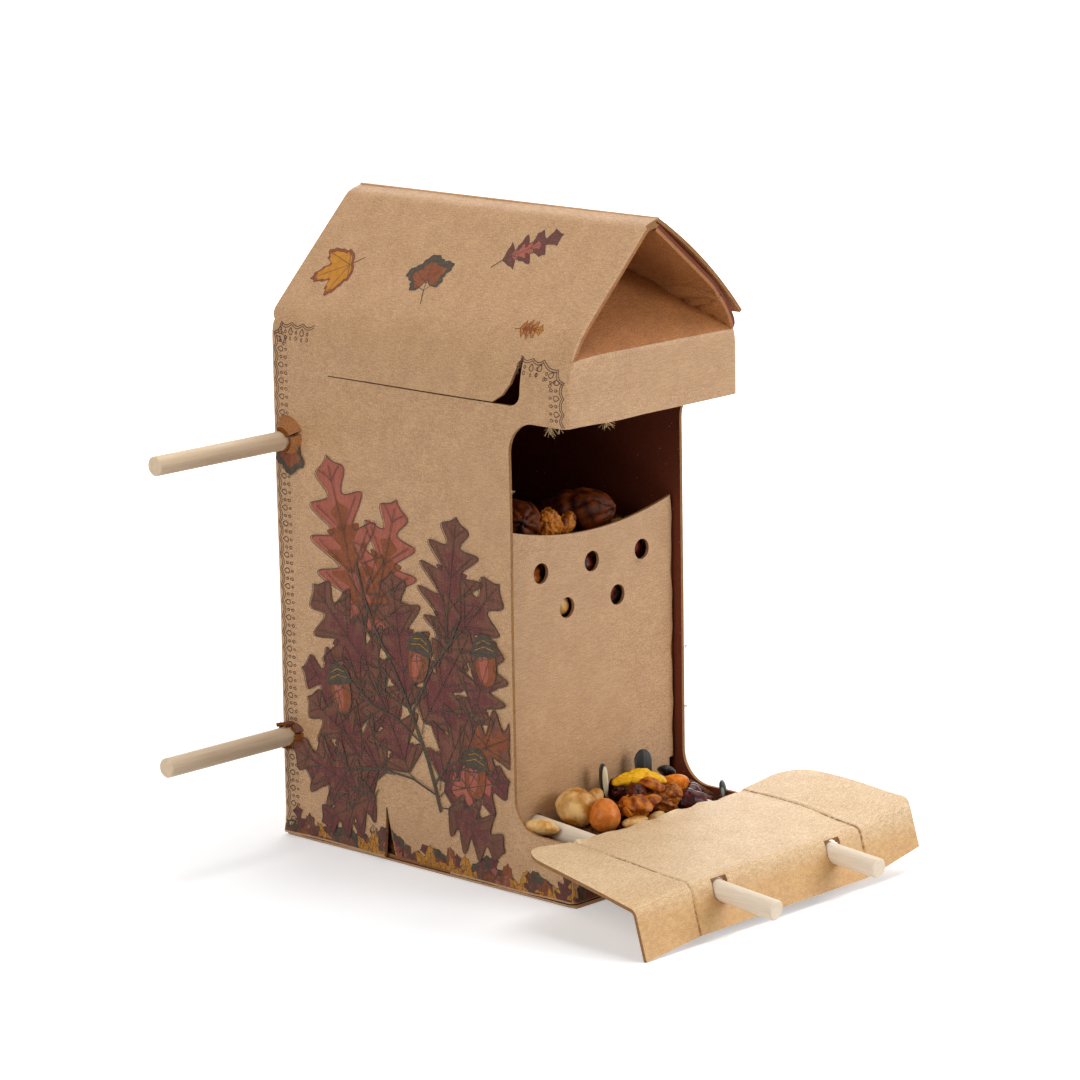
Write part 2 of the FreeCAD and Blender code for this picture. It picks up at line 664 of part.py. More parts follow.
def make_landing():
    """The deck and lip between the creases, and the two wings beyond them."""
    half = size("half_width")
    left = dowel_slot(-size("left_landing_across"))
    right = dowel_slot(size("right_landing_across"))
    wing = size("window_return")
    radius = size("window_radius")
    front = size("half_depth")
    height = 2 * size("crease_height")
    for part_name in ("deck", "lip"):
        section = landing_section(part_name)
        section.translate(Vector(-half, 0, 0))
        solid = section.extrude(Vector(2 * half, 0, 0)).cut(left).cut(right)
        feature("landing_" + part_name, solid)
        for side, sign, tilt in (("left", -1, "left_wing_tilt"), ("right", 1, "right_wing_tilt")):
            angle = math.radians(size(tilt))
            section = landing_section(part_name)
            section.translate(Vector(sign * half, 0, 0))
            span = Vector(sign * wing * math.cos(angle), 0, wing * math.sin(angle))
            solid = section.extrude(span)
            label = side + "_landing_wing"
            if part_name == "lip":
                label = side + "_wing_lip"
            else:
                middle = Vector(sign * (half + wing * math.cos(angle) - radius), -front - radius, 0)
                low_side = middle - Vector((1 - sign) * radius, 0, 0)
                corner = Part.makeBox(2 * radius, 2 * radius, height, low_side)
                drum = Part.makeCylinder(radius, height, middle)
                solid = solid.cut(corner.cut(drum))
            feature(label, solid)


# Dowels

def make_dowel(label, turn_axis, turn, places):
    """A dowel with broken edges; its cylinder starts at the bound place and runs along its turned axis."""
    rod = doc.addObject("Part::Cylinder", label + "_rod")
    bind(rod, Radius="dowel_radius", Height="dowel_length", **places)
    rod.Placement = FreeCAD.Placement(Vector(), FreeCAD.Rotation(turn_axis, turn))
    doc.recompute()
    chamfer = doc.addObject("Part::Chamfer", label + "_ends")
    chamfer.Base = rod
    broken = size("dowel_chamfer")
    rims = [index for index, edge in enumerate(rod.Shape.Edges, 1) if len(edge.Vertexes) == 1]
    chamfer.Edges = [(index, broken, broken) for index in rims]
    return keep(chamfer, label)


def make_dowels():
    """Two cross dowels near the back and two that carry the landing."""
    across = Vector(0, 1, 0)
    for name in ("upper", "lower"):
        make_dowel(name + "_rear_dowel", across, 90, {
            "Placement__Base__x": "- half_width - %s_dowel_reach" % name,
            "Placement__Base__y": "%s_dowel_y" % name,
            "Placement__Base__z": "%s_dowel_height" % name,
        })
    for side, sign in (("left", "-"), ("right", "+")):
        dowel = make_dowel(side + "_landing_dowel", Vector(1, 0, 0), size("landing_slope") - 90, {
            "Placement__Base__x": "0 %s %s_landing_across" % (sign, side),
            "Placement__Base__y": "- half_depth - %s_landing_reach" % side,
        })
        tip_height = "Sizes.dowel_front_height - Sizes.%s_landing_reach * Sizes.landing_fall" % side
        dowel.Base.setExpression("Placement.Base.z", tip_height)
    doc.recompute()


# Feed

def channel(label):
    """The way that a dowel keeps free through the feed."""
    rod = [piece for piece in pieces if piece.Label == label][0].Base
    way = rod.Placement.Rotation.multVec(Vector(0, 0, 1))
    clearance = size("feed_clearance")
    return Part.makeCylinder(size("dowel_radius") + clearance, size("dowel_length") + 2 * clearance,
                             rod.Placement.Base - way * clearance, way)


def make_heap(label, half, span, corners, dowels):
    """A closed heap of packed feed: its side view, padded across the box, with the ways of the dowels."""
    heap = doc.addObject("PartDesign::Body", label + "_heap")
    sketch = sketch_in(heap, "YZ_Plane", "- " + half)
    outline(sketch, corners)
    pad = heap.newObject("PartDesign::Pad", label + "_pad")
    pad.Profile = sketch
    bind(pad, Length=span)
    doc.recompute()
    solid = heap.Shape
    for dowel in dowels:
        solid = solid.cut(channel(dowel))
    feature(label, solid)


def make_packed_feed():
    """The packed feed below the visible layer, in the hopper and in the tray before the chute panel."""
    make_heap("hopper_feed", "hopper_half", "hopper_span", [
        ("- hopper_front", "floor_top"),
        ("hopper_back", "floor_top"),
        ("hopper_back", "hopper_back_top"),
        ("- hopper_front", "hopper_top"),
    ], ["lower_rear_dowel", "left_landing_dowel", "right_landing_dowel"])
    make_heap("tray_feed", "tray_half", "tray_span", [
        ("- tray_front", "floor_top"),
        ("- tray_back", "floor_top"),
        ("- tray_back", "tray_top"),
        ("- tray_front", "tray_front_top"),
    ], ["left_landing_dowel", "right_landing_dowel"])


# Kernels that show: length, width and height; how far the middle is to the right, how far away from the
# chute panel, and how far above the heap's surface; then roll, pitch and yaw in degrees
TRAY_KERNELS = {
    "tray_hazelnuts": [
        ((13.4, 13, 12.8), ("0 - 19.4", 8.8, 2), (0, 0, 0)),
        ((12, 11.4, 11), ("0 - 7", 10.2, 1), (0, 0, 40)),
    ],
    "tray_peanuts": [
        ((11.6, 10.6, 11.6), ("0 - 14.4", 20.4, 2.4), (10, 0, 0)),
        ((12, 8, 8), ("24.4", 15.4, 3), (0, 14, 25)),
    ],
    "tray_walnut_pieces": [
        ((14, 10.4, 10), ("0 - 0.6", 20, 3), (0, 6, 20)),
        ((13, 11, 9.6), ("13.4", 19.6, 2), (0, -6, -15)),
        ((14.4, 9.4, 10), ("8.4", 8.8, 1.8), (0, 0, 8)),
    ],
    "tray_dried_fruit": [
        ((19, 9.5, 4.4), ("10.2", 12.4, 7), (10, 8, 15)),
        ((8, 5, 4), ("0 - 7.6", 25.4, 1.4), (20, 0, 20)),
    ],
    "tray_sunflower_seeds": [
        ((4.2, 2.8, 13.2), ("0 - 1.4", 5.6, 6), (-4, 0, 10)),
        ((7, 3.2, 13.4), ("20.6", 5.8, 6), (-4, 4, 5)),
        ((13, 3.6, 6.4), ("31.6", 6.4, 2.4), (-8, 8, 8)),
        ((3, 2.6, 10), ("tray_half - 2.2", 21, 2.4), (-6, -8, 0)),
    ],
    "tray_raisins": [
        ((8.4, 7.4, 7), ("right_landing_across + 6.6", 14.6, 1.4), (0, 0, 20)),
        ((8, 5.4, 6), ("22", 24, 1.6), (0, 10, 10)),
    ],
    "tray_pine_nuts": [
        ((12.4, 4.6, 4.4), ("5.6 - tray_half", 12, 1), (0, 12, -50)),
        ((10.4, 4.2, 3.8), ("4.6", 25.6, 1.2), (0, -4, 10)),
    ],
}
HOPPER_WALNUTS = [
    ((29, 24, 19), ("12", 17.5, 5), (0, 0, 25)),
    ((26, 22, 21), ("0 - 22.5", 16, 5.6), (0, 15, -20)),
    ((13, 7, 11), ("0 - 13.5", 7.4, 3.6), (0, 20, 0)),
    ((11, 6, 12), ("0 - 3.4", 7.6, 3.6), (0, -25, 10)),
]


def ovoid(length, width, height):
    """A rounded kernel about the origin."""
    stretch = FreeCAD.Matrix()
    stretch.scale(Vector(length / 2, width / 2, height / 2))
    return Part.makeSphere(1).transformGeometry(stretch)


def settle(label, rows, surface, obstacles):
    """Place one kind of kernel; each has the dents of what it rests on and of the kernels before it.

    The surface is the heap's top edge at the chute panel and its far edge, as two points in YZ.
    """
    panel_y, edge, far = surface
    way = far - edge
    solids = []
    for (length, width, height), (across, away, up), (roll, pitch, yaw) in rows:
        place = Vector(amount(across), panel_y + math.copysign(away, way.y), 0)
        place.z = edge.z + way.z * (place.y - edge.y) / way.y + up
        kernel = ovoid(length, width, height)
        kernel.Placement = FreeCAD.Placement(place, FreeCAD.Rotation(yaw, pitch, roll))
        for obstacle in obstacles:
            if kernel.distToShape(obstacle)[0] < NEAR:
                kernel = main_solid(kernel.cut(obstacle))
        solids.append(kernel)
        obstacles.append(kernel)
    feature(label, Part.makeCompound(solids))


def make_loose_feed():
    """The nuts, seeds and fruit that show above the packed feed."""
    surface = (-size("chute_front"), Vector(0, -size("tray_back"), size("tray_top")),
               Vector(0, -size("tray_front"), size("tray_front_top")))
    obstacles = pieces_named("tray_feed") + [channel("left_landing_dowel"), channel("right_landing_dowel")]
    for label, rows in TRAY_KERNELS.items():
        settle(label, rows, surface, obstacles)
    surface = (-size("chute_back"), Vector(0, -size("hopper_front"), size("hopper_top")),
               Vector(0, size("hopper_back"), size("hopper_back_top")))
    settle("hopper_walnuts", HOPPER_WALNUTS, surface, pieces_named("hopper_feed"))


make_bottom()
make_side_walls()
make_front_and_back()
make_chute()
make_roof()
make_gables()
make_landing()
make_dowels()
make_packed_feed()
make_loose_feed()
doc.recompute()

for thing in doc.Objects:
    if "Invalid" in thing.State or "Error" in thing.State:
        raise ValueError("%s is in state %s" % (thing.Label, thing.State))
for piece in pieces:
    if piece.Shape.isNull() or not piece.Shape.isValid() or not piece.Shape.Solids:
        raise ValueError(piece.Label + " has no valid solid")

os.makedirs("parts", exist_ok=True)
for piece in pieces:
    piece.Shape.exportStep("parts/%s.step" % piece.Label)
print("%d pieces" % len(pieces))
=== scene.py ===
"""Squirrel feeder box: the looks of its folded kraft board, printed ornament, dowels and feed.

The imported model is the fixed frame. Lengths are worked out in millimetres and become metres when a piece is
made.
"""
import math
import random

import bmesh
import bpy
import numpy as np
from bpy.props import FloatProperty, FloatVectorProperty, IntProperty, PointerProperty
from mathutils import Euler, Matrix, Vector, noise


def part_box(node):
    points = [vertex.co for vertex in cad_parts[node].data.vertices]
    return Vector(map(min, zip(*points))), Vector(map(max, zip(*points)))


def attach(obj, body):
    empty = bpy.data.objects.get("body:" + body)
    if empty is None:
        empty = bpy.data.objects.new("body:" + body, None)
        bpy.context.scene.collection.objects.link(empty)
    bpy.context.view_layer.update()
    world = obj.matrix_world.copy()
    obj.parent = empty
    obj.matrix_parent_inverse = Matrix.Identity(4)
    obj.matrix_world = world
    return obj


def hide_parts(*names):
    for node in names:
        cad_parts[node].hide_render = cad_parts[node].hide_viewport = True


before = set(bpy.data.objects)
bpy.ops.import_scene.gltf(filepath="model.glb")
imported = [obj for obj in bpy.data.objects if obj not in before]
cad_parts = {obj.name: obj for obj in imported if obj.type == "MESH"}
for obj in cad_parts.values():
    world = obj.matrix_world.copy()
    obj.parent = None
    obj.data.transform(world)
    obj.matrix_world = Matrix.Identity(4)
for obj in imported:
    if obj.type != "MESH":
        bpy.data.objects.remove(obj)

bl_info = {
    "name": "Squirrel feeder box",
    "version": (1, 0, 0),
    "blender": (4, 5, 0),
    "location": "3D View > Sidebar > Feeder",
    "description": "Builds the board, the print, the dowels and the feed of a folding squirrel feeder",
    "category": "Object",
}

MM = 0.001


def box_mm(node):
    """A node's lowest and highest corner in millimetres."""
    low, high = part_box(node)
    return low / MM, high / MM


# Sizes that the frame gives
WALL_LOW, WALL_HIGH = box_mm("left_wall")
BOARD = WALL_HIGH.x - WALL_LOW.x
HALF_WIDTH = -WALL_LOW.x
HALF_DEPTH = WALL_HIGH.y
EAVE = WALL_HIGH.z
RIDGE_LOW, RIDGE_HIGH = box_mm("roof_ridge_strip")
SLOPE_HIGH = box_mm("roof_left_slope")[1]
RIDGE_LEFT = Vector((RIDGE_LOW.x, SLOPE_HIGH.z))
RIDGE_RIGHT = Vector((RIDGE_HIGH.x, RIDGE_HIGH.z))
HEADER_LOW = box_mm("front_header")[0].z
LOCK_LOW, LOCK_HIGH = box_mm("bottom_lock_tab")
TONGUE_LOW, TONGUE_HIGH = box_mm("eave_tongue")
CHUTE_LOW, CHUTE_HIGH = box_mm("chute_panel")
# The way up the left slope in the XZ plane
SLOPE_WAY = (RIDGE_LEFT - Vector((-HALF_WIDTH, EAVE))).normalized()
# Where the gable's wrinkles meet in the XZ plane, and the way of its crease
KNEE = Vector((36.4, 209.6))
GABLE_WAY = Vector((45.0, 36.6)).normalized()


def colour(code):
    """An sRGB hex value as linear RGBA."""
    channels = [int(code[index:index + 2], 16) / 255 for index in (1, 3, 5)]
    linear = [value / 12.92 if value <= 0.04045 else ((value + 0.055) / 1.055) ** 2.4 for value in channels]
    return (*linear, 1.0)


def shade(name, words, code):
    """A colour property with its default as an sRGB hex value."""
    return FloatVectorProperty(name=name, description=words, default=colour(code), size=4, min=0, max=1,
                               subtype="COLOR")


def span(name, words, millimetres):
    """A length property, in metres, with its default in millimetres."""
    return FloatProperty(name=name, description=words, default=millimetres * MM, min=0, subtype="DISTANCE",
                         unit="LENGTH", precision=5)


class FeederBoardSizes(bpy.types.PropertyGroup):
    """How soft and how uneven the folded board is."""
    cell: span("Cell", "Distance between the cuts that let a panel bend", 7.4)
    wave_height: span("Wave height", "How far a panel strays from its plane", 0.28)
    wave_length: span("Wave length", "Distance over which a panel strays", 48)
    corner_reach: span("Corner reach", "Half the width of an upright fold", 3.2)
    eave_reach_front: span("Front eave reach", "Half the width of the left eave's fold at the front", 17)
    eave_reach_rear: span("Rear eave reach", "Half the width of the left eave's fold at the back", 7)
    right_eave_reach: span("Right eave reach", "Half the width of the right eave's fold", 8)
    ridge_reach: span("Ridge reach", "Half the width of the ridge folds", 2.4)
    flute_pitch: span("Flute pitch", "Distance between two flutes of the micro-flute core", 2.4)
    groove: span("Groove", "Depth of the landing's pressed creases", 0.42)


class FeederPrintSizes(bpy.types.PropertyGroup):
    """The printed ornament."""
    line: span("Line", "Width of a printed line", 0.36)
    lace_pitch: span("Lace pitch", "Length of one scallop of the lace border", 5.8)


class FeederFeedSizes(bpy.types.PropertyGroup):
    """The nuts and seeds."""
    bits: IntProperty(name="Kernels", description="Kernels that cover the hopper's heap", default=150, min=20)
    seed: IntProperty(name="Seed", description="Start of the random places", default=7, min=0)


class FeederColours(bpy.types.PropertyGroup):
    """Colours of the board, the inks and the dowels."""
    kraft: shade("Kraft liner", "Unbleached kraft liner, outside", "#D2A97D")
    kraft_dark: shade("Kraft fibre", "Darker fibres of the liner", "#94673F")
    landing: shade("Inner liner", "The inner liner, as the landing's lip shows it", "#D8AD70")
    # Painted top light: the same inner liner made paler where the landing faces up
    landing_painted_top_light: shade("Inner liner's top", "The inner liner where the landing faces up", "#EDD5AE")
    landing_dark: shade("Inner fibre", "Darker fibres of the inner liner", "#AE7D48")
    # Painted shade: the liner under the roof, on the gables and on the upper torn flaps, darkened and
    # reddened for the shade it lies in
    roof_shade: shade("Roof's inside", "Liner under the roof, which lies in its own brown light", "#B9773B")
    roof_shade_dark: shade("Roof's inside fibre", "Darker fibres under the roof", "#6A3A16")
    # Painted shade: the liner inside the box, darkened and reddened for the shade there
    inside_shade: shade("Box's inside", "Liner inside the box, which lies in its own red-brown light", "#742C05")
    inside_shade_dark: shade("Box's inside fibre", "Darker fibres inside the box", "#521C04")
    cut: shade("Cut edge", "Cut edge of the fluted core", "#A97E55")
    ochre: shade("Ochre ink", "Ink of the yellow leaves", "#B87C2C")
    rust: shade("Rust ink", "Ink of the red-brown leaves", "#82492F")
    plum: shade("Plum ink", "Ink of the plum leaves", "#683A37")
    brown: shade("Brown ink", "Ink of the large leaves", "#6E4639")
    red: shade("Red ink", "Ink of the leaves' tips", "#A05A4A")
    charcoal: shade("Charcoal ink", "Ink of the dark leaves", "#4B4238")
    lace: shade("Lace ink", "Ink of the border", "#533A2E")
    dowel: shade("Beech", "Sanded beech", "#EBDDC9")
    dowel_grain: shade("Beech grain", "Grain and rays of the beech", "#D6B994")


# Materials

def add(tree, kind, inputs=None, **settings):
    """Add one node: settings are its properties, inputs name its sockets with a value or a link each."""
    made = tree.nodes.new(kind)
    for name, value in settings.items():
        setattr(made, name, value)
    for name, value in (inputs or {}).items():
        if isinstance(value, bpy.types.NodeSocket):
            tree.links.new(value, made.inputs[name])
        else:
            made.inputs[name].default_value = value
    return made


def start_material(name, roughness, specular):
    """A new material with its shader and its object coordinates."""
    made = bpy.data.materials.new(name)
    made.use_nodes = True
    tree = made.node_tree
    tree.nodes.clear()
    shader = add(tree, "ShaderNodeBsdfPrincipled", {"Roughness": roughness, "Specular IOR Level": specular})
    add(tree, "ShaderNodeOutputMaterial", {"Surface": shader.outputs[0]})
    place = add(tree, "ShaderNodeTexCoord").outputs["Object"]
    return made, tree, shader, place


def combine(tree, first, second, operation="ADD"):
    """Two numbers or links put together by one operation."""
    return add(tree, "ShaderNodeMath", {0: first, 1: second}, operation=operation).outputs[0]


def times(tree, first, second):
    """The product of two numbers or links."""
    return combine(tree, first, second, "MULTIPLY")


def size_of(tree, value):
    """A value without its sign."""
    return add(tree, "ShaderNodeMath", {0: value}, operation="ABSOLUTE").outputs[0]


def ramp(tree, value, low, high, start=0.0, end=1.0, **settings):
    """A value stretched from one range to another and held at its ends."""
    return add(tree, "ShaderNodeMapRange", {"Value": value, "From Min": low, "From Max": high,
                                            "To Min": start, "To Max": end}, **settings).outputs[0]


def grain(tree, place, sizes, detail, low=0.35, high=0.65):
    """A noise of the given size in millimetres along X, Y and Z, stretched to run from 0 to 1."""
    scaled = add(tree, "ShaderNodeMapping", {"Vector": place, "Scale": [1 / (size * MM) for size in sizes]})
    cloud = add(tree, "ShaderNodeTexNoise", {"Vector": scaled.outputs[0], "Scale": 1.0, "Detail": detail})
    return ramp(tree, cloud.outputs[0], low, high)


def blend(tree, share, first, second):
    """Mix two colours by a share."""
    return add(tree, "ShaderNodeMix", {0: share, 6: first, 7: second}, data_type="RGBA").outputs[2]


def specks(tree, place, pitch, radius, rarity):
    """Scattered dots: one per cell of the pitch, and only in the share of cells that the rarity leaves."""
    cells = add(tree, "ShaderNodeTexVoronoi", {"Vector": place, "Scale": 1 / (pitch * MM)})
    near = ramp(tree, cells.outputs["Distance"], radius / pitch, 0.4 * radius / pitch)
    parts = add(tree, "ShaderNodeSeparateColor", {0: cells.outputs["Color"]})
    return times(tree, near, combine(tree, parts.outputs[0], rarity, "GREATER_THAN"))


def rough_up(tree, shader, height, millimetres, strength=0.6):
    """Bump of the given height."""
    relief = add(tree, "ShaderNodeBump", {"Height": height, "Distance": millimetres * MM,
                                          "Strength": strength})
    tree.links.new(relief.outputs[0], shader.inputs["Normal"])


def kraft_tone(tree, place, flutes):
    """The share of dark fibre in a liner: short streaks, specks and broad clouds; the flutes lie across."""
    streak = {"X": (2.6, 2.6, 0.36), "Y": (2.6, 2.6, 0.36), "LANDING": (2.2, 0.5, 2.2)}[flutes]
    fibres = times(tree, grain(tree, place, streak, 3.0, 0.36, 0.64), 0.28)
    clouds = times(tree, grain(tree, place, (9, 9, 9), 3.0), 0.14)
    fine = times(tree, grain(tree, place, (0.4, 0.4, 0.36), 2.0, 0.38, 0.62), 0.58)
    return combine(tree, combine(tree, fibres, clouds), fine)


DARK_FIBRE_SHARE = 0.86
# Specks in the liner: distance between them and radius in millimetres, rarity, strength and colour
LINER_SPECKS = ((6, 0.3, 0.7, 0.7, "#6A4228"), (4, 0.3, 0.72, 0.4, "#F0DDBE"))
# Heights in millimetres between which the landing's lip colour passes into the paler top colour, a painted
# top light
LIP_TO_LIT_TOP = (13, 22)


def kraft(name, light, dark, flutes, shaded_creases=(), roughness=0.5, top=None):
    """Unbleached kraft liner: satin from calendering, with darker fibres, bark specks and a flute ripple."""
    made, tree, shader, place = start_material(name, roughness, 0.5)
    tone = kraft_tone(tree, place, flutes)
    parts = add(tree, "ShaderNodeSeparateXYZ", {0: place}).outputs
    # Painted top light: the landing's upper side takes a paler colour than its lip
    if top:
        light = blend(tree, ramp(tree, parts[2], LIP_TO_LIT_TOP[0] * MM, LIP_TO_LIT_TOP[1] * MM), light, top)
    liner = blend(tree, times(tree, tone, DARK_FIBRE_SHARE), light, dark)
    for pitch, radius, rarity, strength, code in LINER_SPECKS:
        dots = specks(tree, place, pitch, radius, rarity)
        liner = blend(tree, times(tree, dots, strength), liner, colour(code))
    # Painted shade: a broken dark line along each pressed crease
    for middle in shaded_creases:
        beside = size_of(tree, combine(tree, parts[0], middle * MM, "SUBTRACT"))
        crease_shade = ramp(tree, beside, 0.25 * MM, 0.6 * MM, 0.85, 0.0)
        broken = grain(tree, place, (1.2, 1.7, 1.2), 2.0, 0.36, 0.58)
        liner = blend(tree, times(tree, crease_shade, broken), liner, colour("#7A4C28"))
    tree.links.new(liner, shader.inputs["Base Color"])
    pitch = bpy.context.scene.feeder_board.flute_pitch
    ripple = add(tree, "ShaderNodeTexWave", {"Vector": place, "Scale": 2 * math.pi / (20 * pitch),
                                             "Distortion": 0.0},
                 bands_direction="Y" if flutes == "Y" else "X", wave_profile="SIN")
    rough_up(tree, shader, combine(tree, tone, times(tree, ripple.outputs["Fac"], 0.3)), 0.07, 0.6)
    return made


def cut_board(name, light, dark):
    """Cut edge of micro-flute board: raw brown core whose flutes leave small darker hollows."""
    made, tree, shader, place = start_material(name, 0.95, 0.1)
    hollow = bpy.context.scene.feeder_board.flute_pitch / MM * 0.4
    hollows = grain(tree, place, (hollow, hollow, hollow), 1.0, 0.4, 0.66)
    raw = blend(tree, times(tree, hollows, 0.45), light, dark)
    fuzz = grain(tree, place, (0.3, 0.3, 0.3), 2.0)
    raw = blend(tree, times(tree, fuzz, 0.25), raw, colour("#5E371A"))
    tree.links.new(raw, shader.inputs["Base Color"])
    rough_up(tree, shader, fuzz, 0.12)
    return made


def ink(name, base, streaks):
    """Water-based ink on kraft: flat, in upright pencil strokes, with the liner's fibres showing through."""
    made, tree, shader, place = start_material(name, 0.84, 0.25)
    tone = kraft_tone(tree, place, "Y")
    strokes = grain(tree, place, (0.8, 0.8, 9) if streaks else (2, 2, 2), 3.0)
    lighter = tuple(min(1.0, value * 1.35 + 0.008) for value in base[:3]) + (1.0,)
    printed = blend(tree, times(tree, strokes, 0.55), base, lighter)
    through = ramp(tree, tone, 0.05, 0.3, 0.2, 0.0)
    printed = blend(tree, through, printed, bpy.context.scene.feeder_colours.kraft)
    tree.links.new(printed, shader.inputs["Base Color"])
    rough_up(tree, shader, tone, 0.07, 0.5)
    return made


def beech(name, along, shaded=0.0):
    """Sanded beech dowel: cream, with long fine grain along the rod, short rays and a matt surface."""
    colours = bpy.context.scene.feeder_colours
    made, tree, shader, place = start_material(name, 0.62, 0.3)
    lines, bands = [grain(tree, place, [length if axis == along else width for axis in "XYZ"], 2.0)
                    for length, width in ((14, 0.35), (60, 1.6))]
    share = combine(tree, times(tree, lines, 0.3), times(tree, bands, 0.22))
    # Painted shade: the shaded share darkens the wood toward its grain colour
    wood = blend(tree, combine(tree, share, shaded), colours.dowel, colours.dowel_grain)
    tree.links.new(wood, shader.inputs["Base Color"])
    rough_up(tree, shader, lines, 0.02, 0.4)
    return made


def kernel_skin(name, light, dark, roughness, size, height=0.06, low=0.4, high=0.62, glow=0.0):
    """A nut's skin or flesh: two tones in blotches of the given size; light passes through pale flesh."""
    made, tree, shader, place = start_material(name, roughness, 0.16)
    blotch = grain(tree, place, (size, size, size), 4.0, low, high)
    tree.links.new(blend(tree, blotch, colour(light), colour(dark)), shader.inputs["Base Color"])
    if glow:
        shader.inputs["Subsurface Weight"].default_value = glow
        shader.inputs["Subsurface Radius"].default_value = (0.003, 0.0018, 0.0006)
    rough_up(tree, shader, blotch, height)
    return made


def striped_husk(name, dark, pale, stripe, edge):
    """A sunflower seed's husk: charcoal with pale stripes and a pale rim, hard and slightly glossy."""
    made, tree, shader, place = start_material(name, 0.46, 0.3)
    own = add(tree, "ShaderNodeAttribute", attribute_name="own").outputs["Vector"]
    across = add(tree, "ShaderNodeSeparateXYZ", {0: own}).outputs[0]
    turns = add(tree, "ShaderNodeMath", {0: times(tree, across, 7.5)}, operation="COSINE").outputs[0]
    stripes = ramp(tree, turns, 0.6, 0.95, 0.0, stripe)
    rim = ramp(tree, size_of(tree, across), edge - 0.06, edge + 0.06)
    marks = combine(tree, stripes, rim, "MAXIMUM")
    fuzz = grain(tree, place, (0.4, 0.4, 0.4), 2.0)
    husk = blend(tree, marks, blend(tree, fuzz, colour(dark), colour("#242321")), colour(pale))
    tree.links.new(husk, shader.inputs["Base Color"])
    rough_up(tree, shader, fuzz, 0.05)
    return made


# Skins of the feed and other plain stuffs by a short name: material, light and dark tone, roughness, size of
# the blotches in millimetres, then the bump's height, the noise's lower and upper value and the glow, where
# they differ from what is usual
SKINS = {
    "fibre": ("loose_paper_fibre", "#DFC297", "#C09A6A", 0.9, 0.5),
    "walnut": ("walnut_skin", "#6E3008", "#2E0F03", 0.55, 3.5, 0.1),
    "walnut_flesh": ("walnut_flesh", "#C27420", "#6A2C08", 0.4, 4.5, 0.06, 0.42, 0.6),
    "walnut_dark": ("broken_walnut", "#5C2210", "#220804", 0.3, 2.6, 0.1),
    "walnut_tan": ("broken_walnut_flesh", "#B06424", "#54220A", 0.34, 2.6, 0.12),
    "hazelnut": ("blanched_hazelnut", "#E2B878", "#AC6E22", 0.26, 6.5, 0.03, 0.4, 0.6, 0.06),
    "peanut": ("peanut_skin", "#D98038", "#C26A24", 0.32, 1.8, 0.03, 0.4, 0.62, 0.05),
    "peanut_orange": ("roasted_peanut", "#E88A2A", "#C86618", 0.32, 1.8, 0.03),
    "raisin": ("dried_berry", "#56140A", "#260603", 0.2, 3.5, 0.06),
    "pine": ("pine_nut", "#E6BE7C", "#C07E30", 0.4, 3.4, 0.02, 0.45, 0.7, 0.05),
    "fruit": ("dried_pineapple", "#EDB616", "#D28A0A", 0.36, 1.4, 0.12, 0.45, 0.7, 0.1),
    "fruit_dark": ("dried_peel", "#C0701A", "#7A3208", 0.32, 3.0, 0.06),
    "shade": ("shaded_crumbs", "#6E4426", "#2A150A", 0.8, 2.0, 0.3),
}
# Husks by a short name: material, dark and pale tone, strength of the stripes, where the pale rim begins
HUSKS = {
    "husk": ("sunflower_husk", "#151413", "#C9BC9E", 0.05, 0.93),
    "husk_grey": ("grey_sunflower_husk", "#5C6462", "#C9CCC2", 0.6, 0.8),
    "husk_edge": ("split_sunflower_husk", "#2A241E", "#E6D8B4", 0.1, 0.5),
}


def make_materials():
    """Every material of the feeder by a short name."""
    colours = bpy.context.scene.feeder_colours
    made = {
        "side": kraft("kraft_liner_side", colours.kraft, colours.kraft_dark, "Y"),
        "front": kraft("kraft_liner_front", colours.kraft, colours.kraft_dark, "X"),
        # The landing's liner: painted top light on its upper side, painted shade along its two creases
        "landing": kraft("kraft_inner_liner", colours.landing, colours.landing_dark, "LANDING",
                         (-HALF_WIDTH, HALF_WIDTH), 0.52, colours.landing_painted_top_light),
        # Painted shade: the liner under the roof and on the gables
        "roof_shade": kraft("kraft_liner_under_the_roof", colours.roof_shade, colours.roof_shade_dark, "X", (), 0.7),
        # Painted shade: the liner inside the box
        "inside_shade": kraft("kraft_liner_inside", colours.inside_shade, colours.inside_shade_dark, "X", (), 0.8),
        "cut": cut_board("cut_micro_flute", colours.cut, colour("#8E5F36")),
        "torn": cut_board("torn_kraft_fibre", colour("#8E5220"), colour("#4E2A10")),
        # The rear dowels' beech is darkened as painted shade
        "beech_x_shaded": beech("sanded_beech_across", "X", 0.45),
        "beech_y": beech("sanded_beech_lengthwise", "Y"),
    }
    made.update((name, kernel_skin(*row)) for name, row in SKINS.items())
    made.update((name, striped_husk(*row)) for name, row in HUSKS.items())
    for name in ("ochre", "rust", "plum", "brown", "red", "charcoal", "lace"):
        made[name] = ink(name + "_ink", getattr(colours, name), name in ("plum", "brown", "red"))
    return made


MATERIALS = {}


# Mesh helpers

def new_object(name, mesh_data, materials):
    """A smooth object from a bmesh in metres, linked to the scene."""
    mesh = bpy.data.meshes.new(name)
    mesh_data.to_mesh(mesh)
    mesh_data.free()
    for material in materials:
        mesh.materials.append(material)
    mesh.polygons.foreach_set("use_smooth", [True] * len(mesh.polygons))
    thing = bpy.data.objects.new(name, mesh)
    bpy.context.scene.collection.objects.link(thing)
    return thing


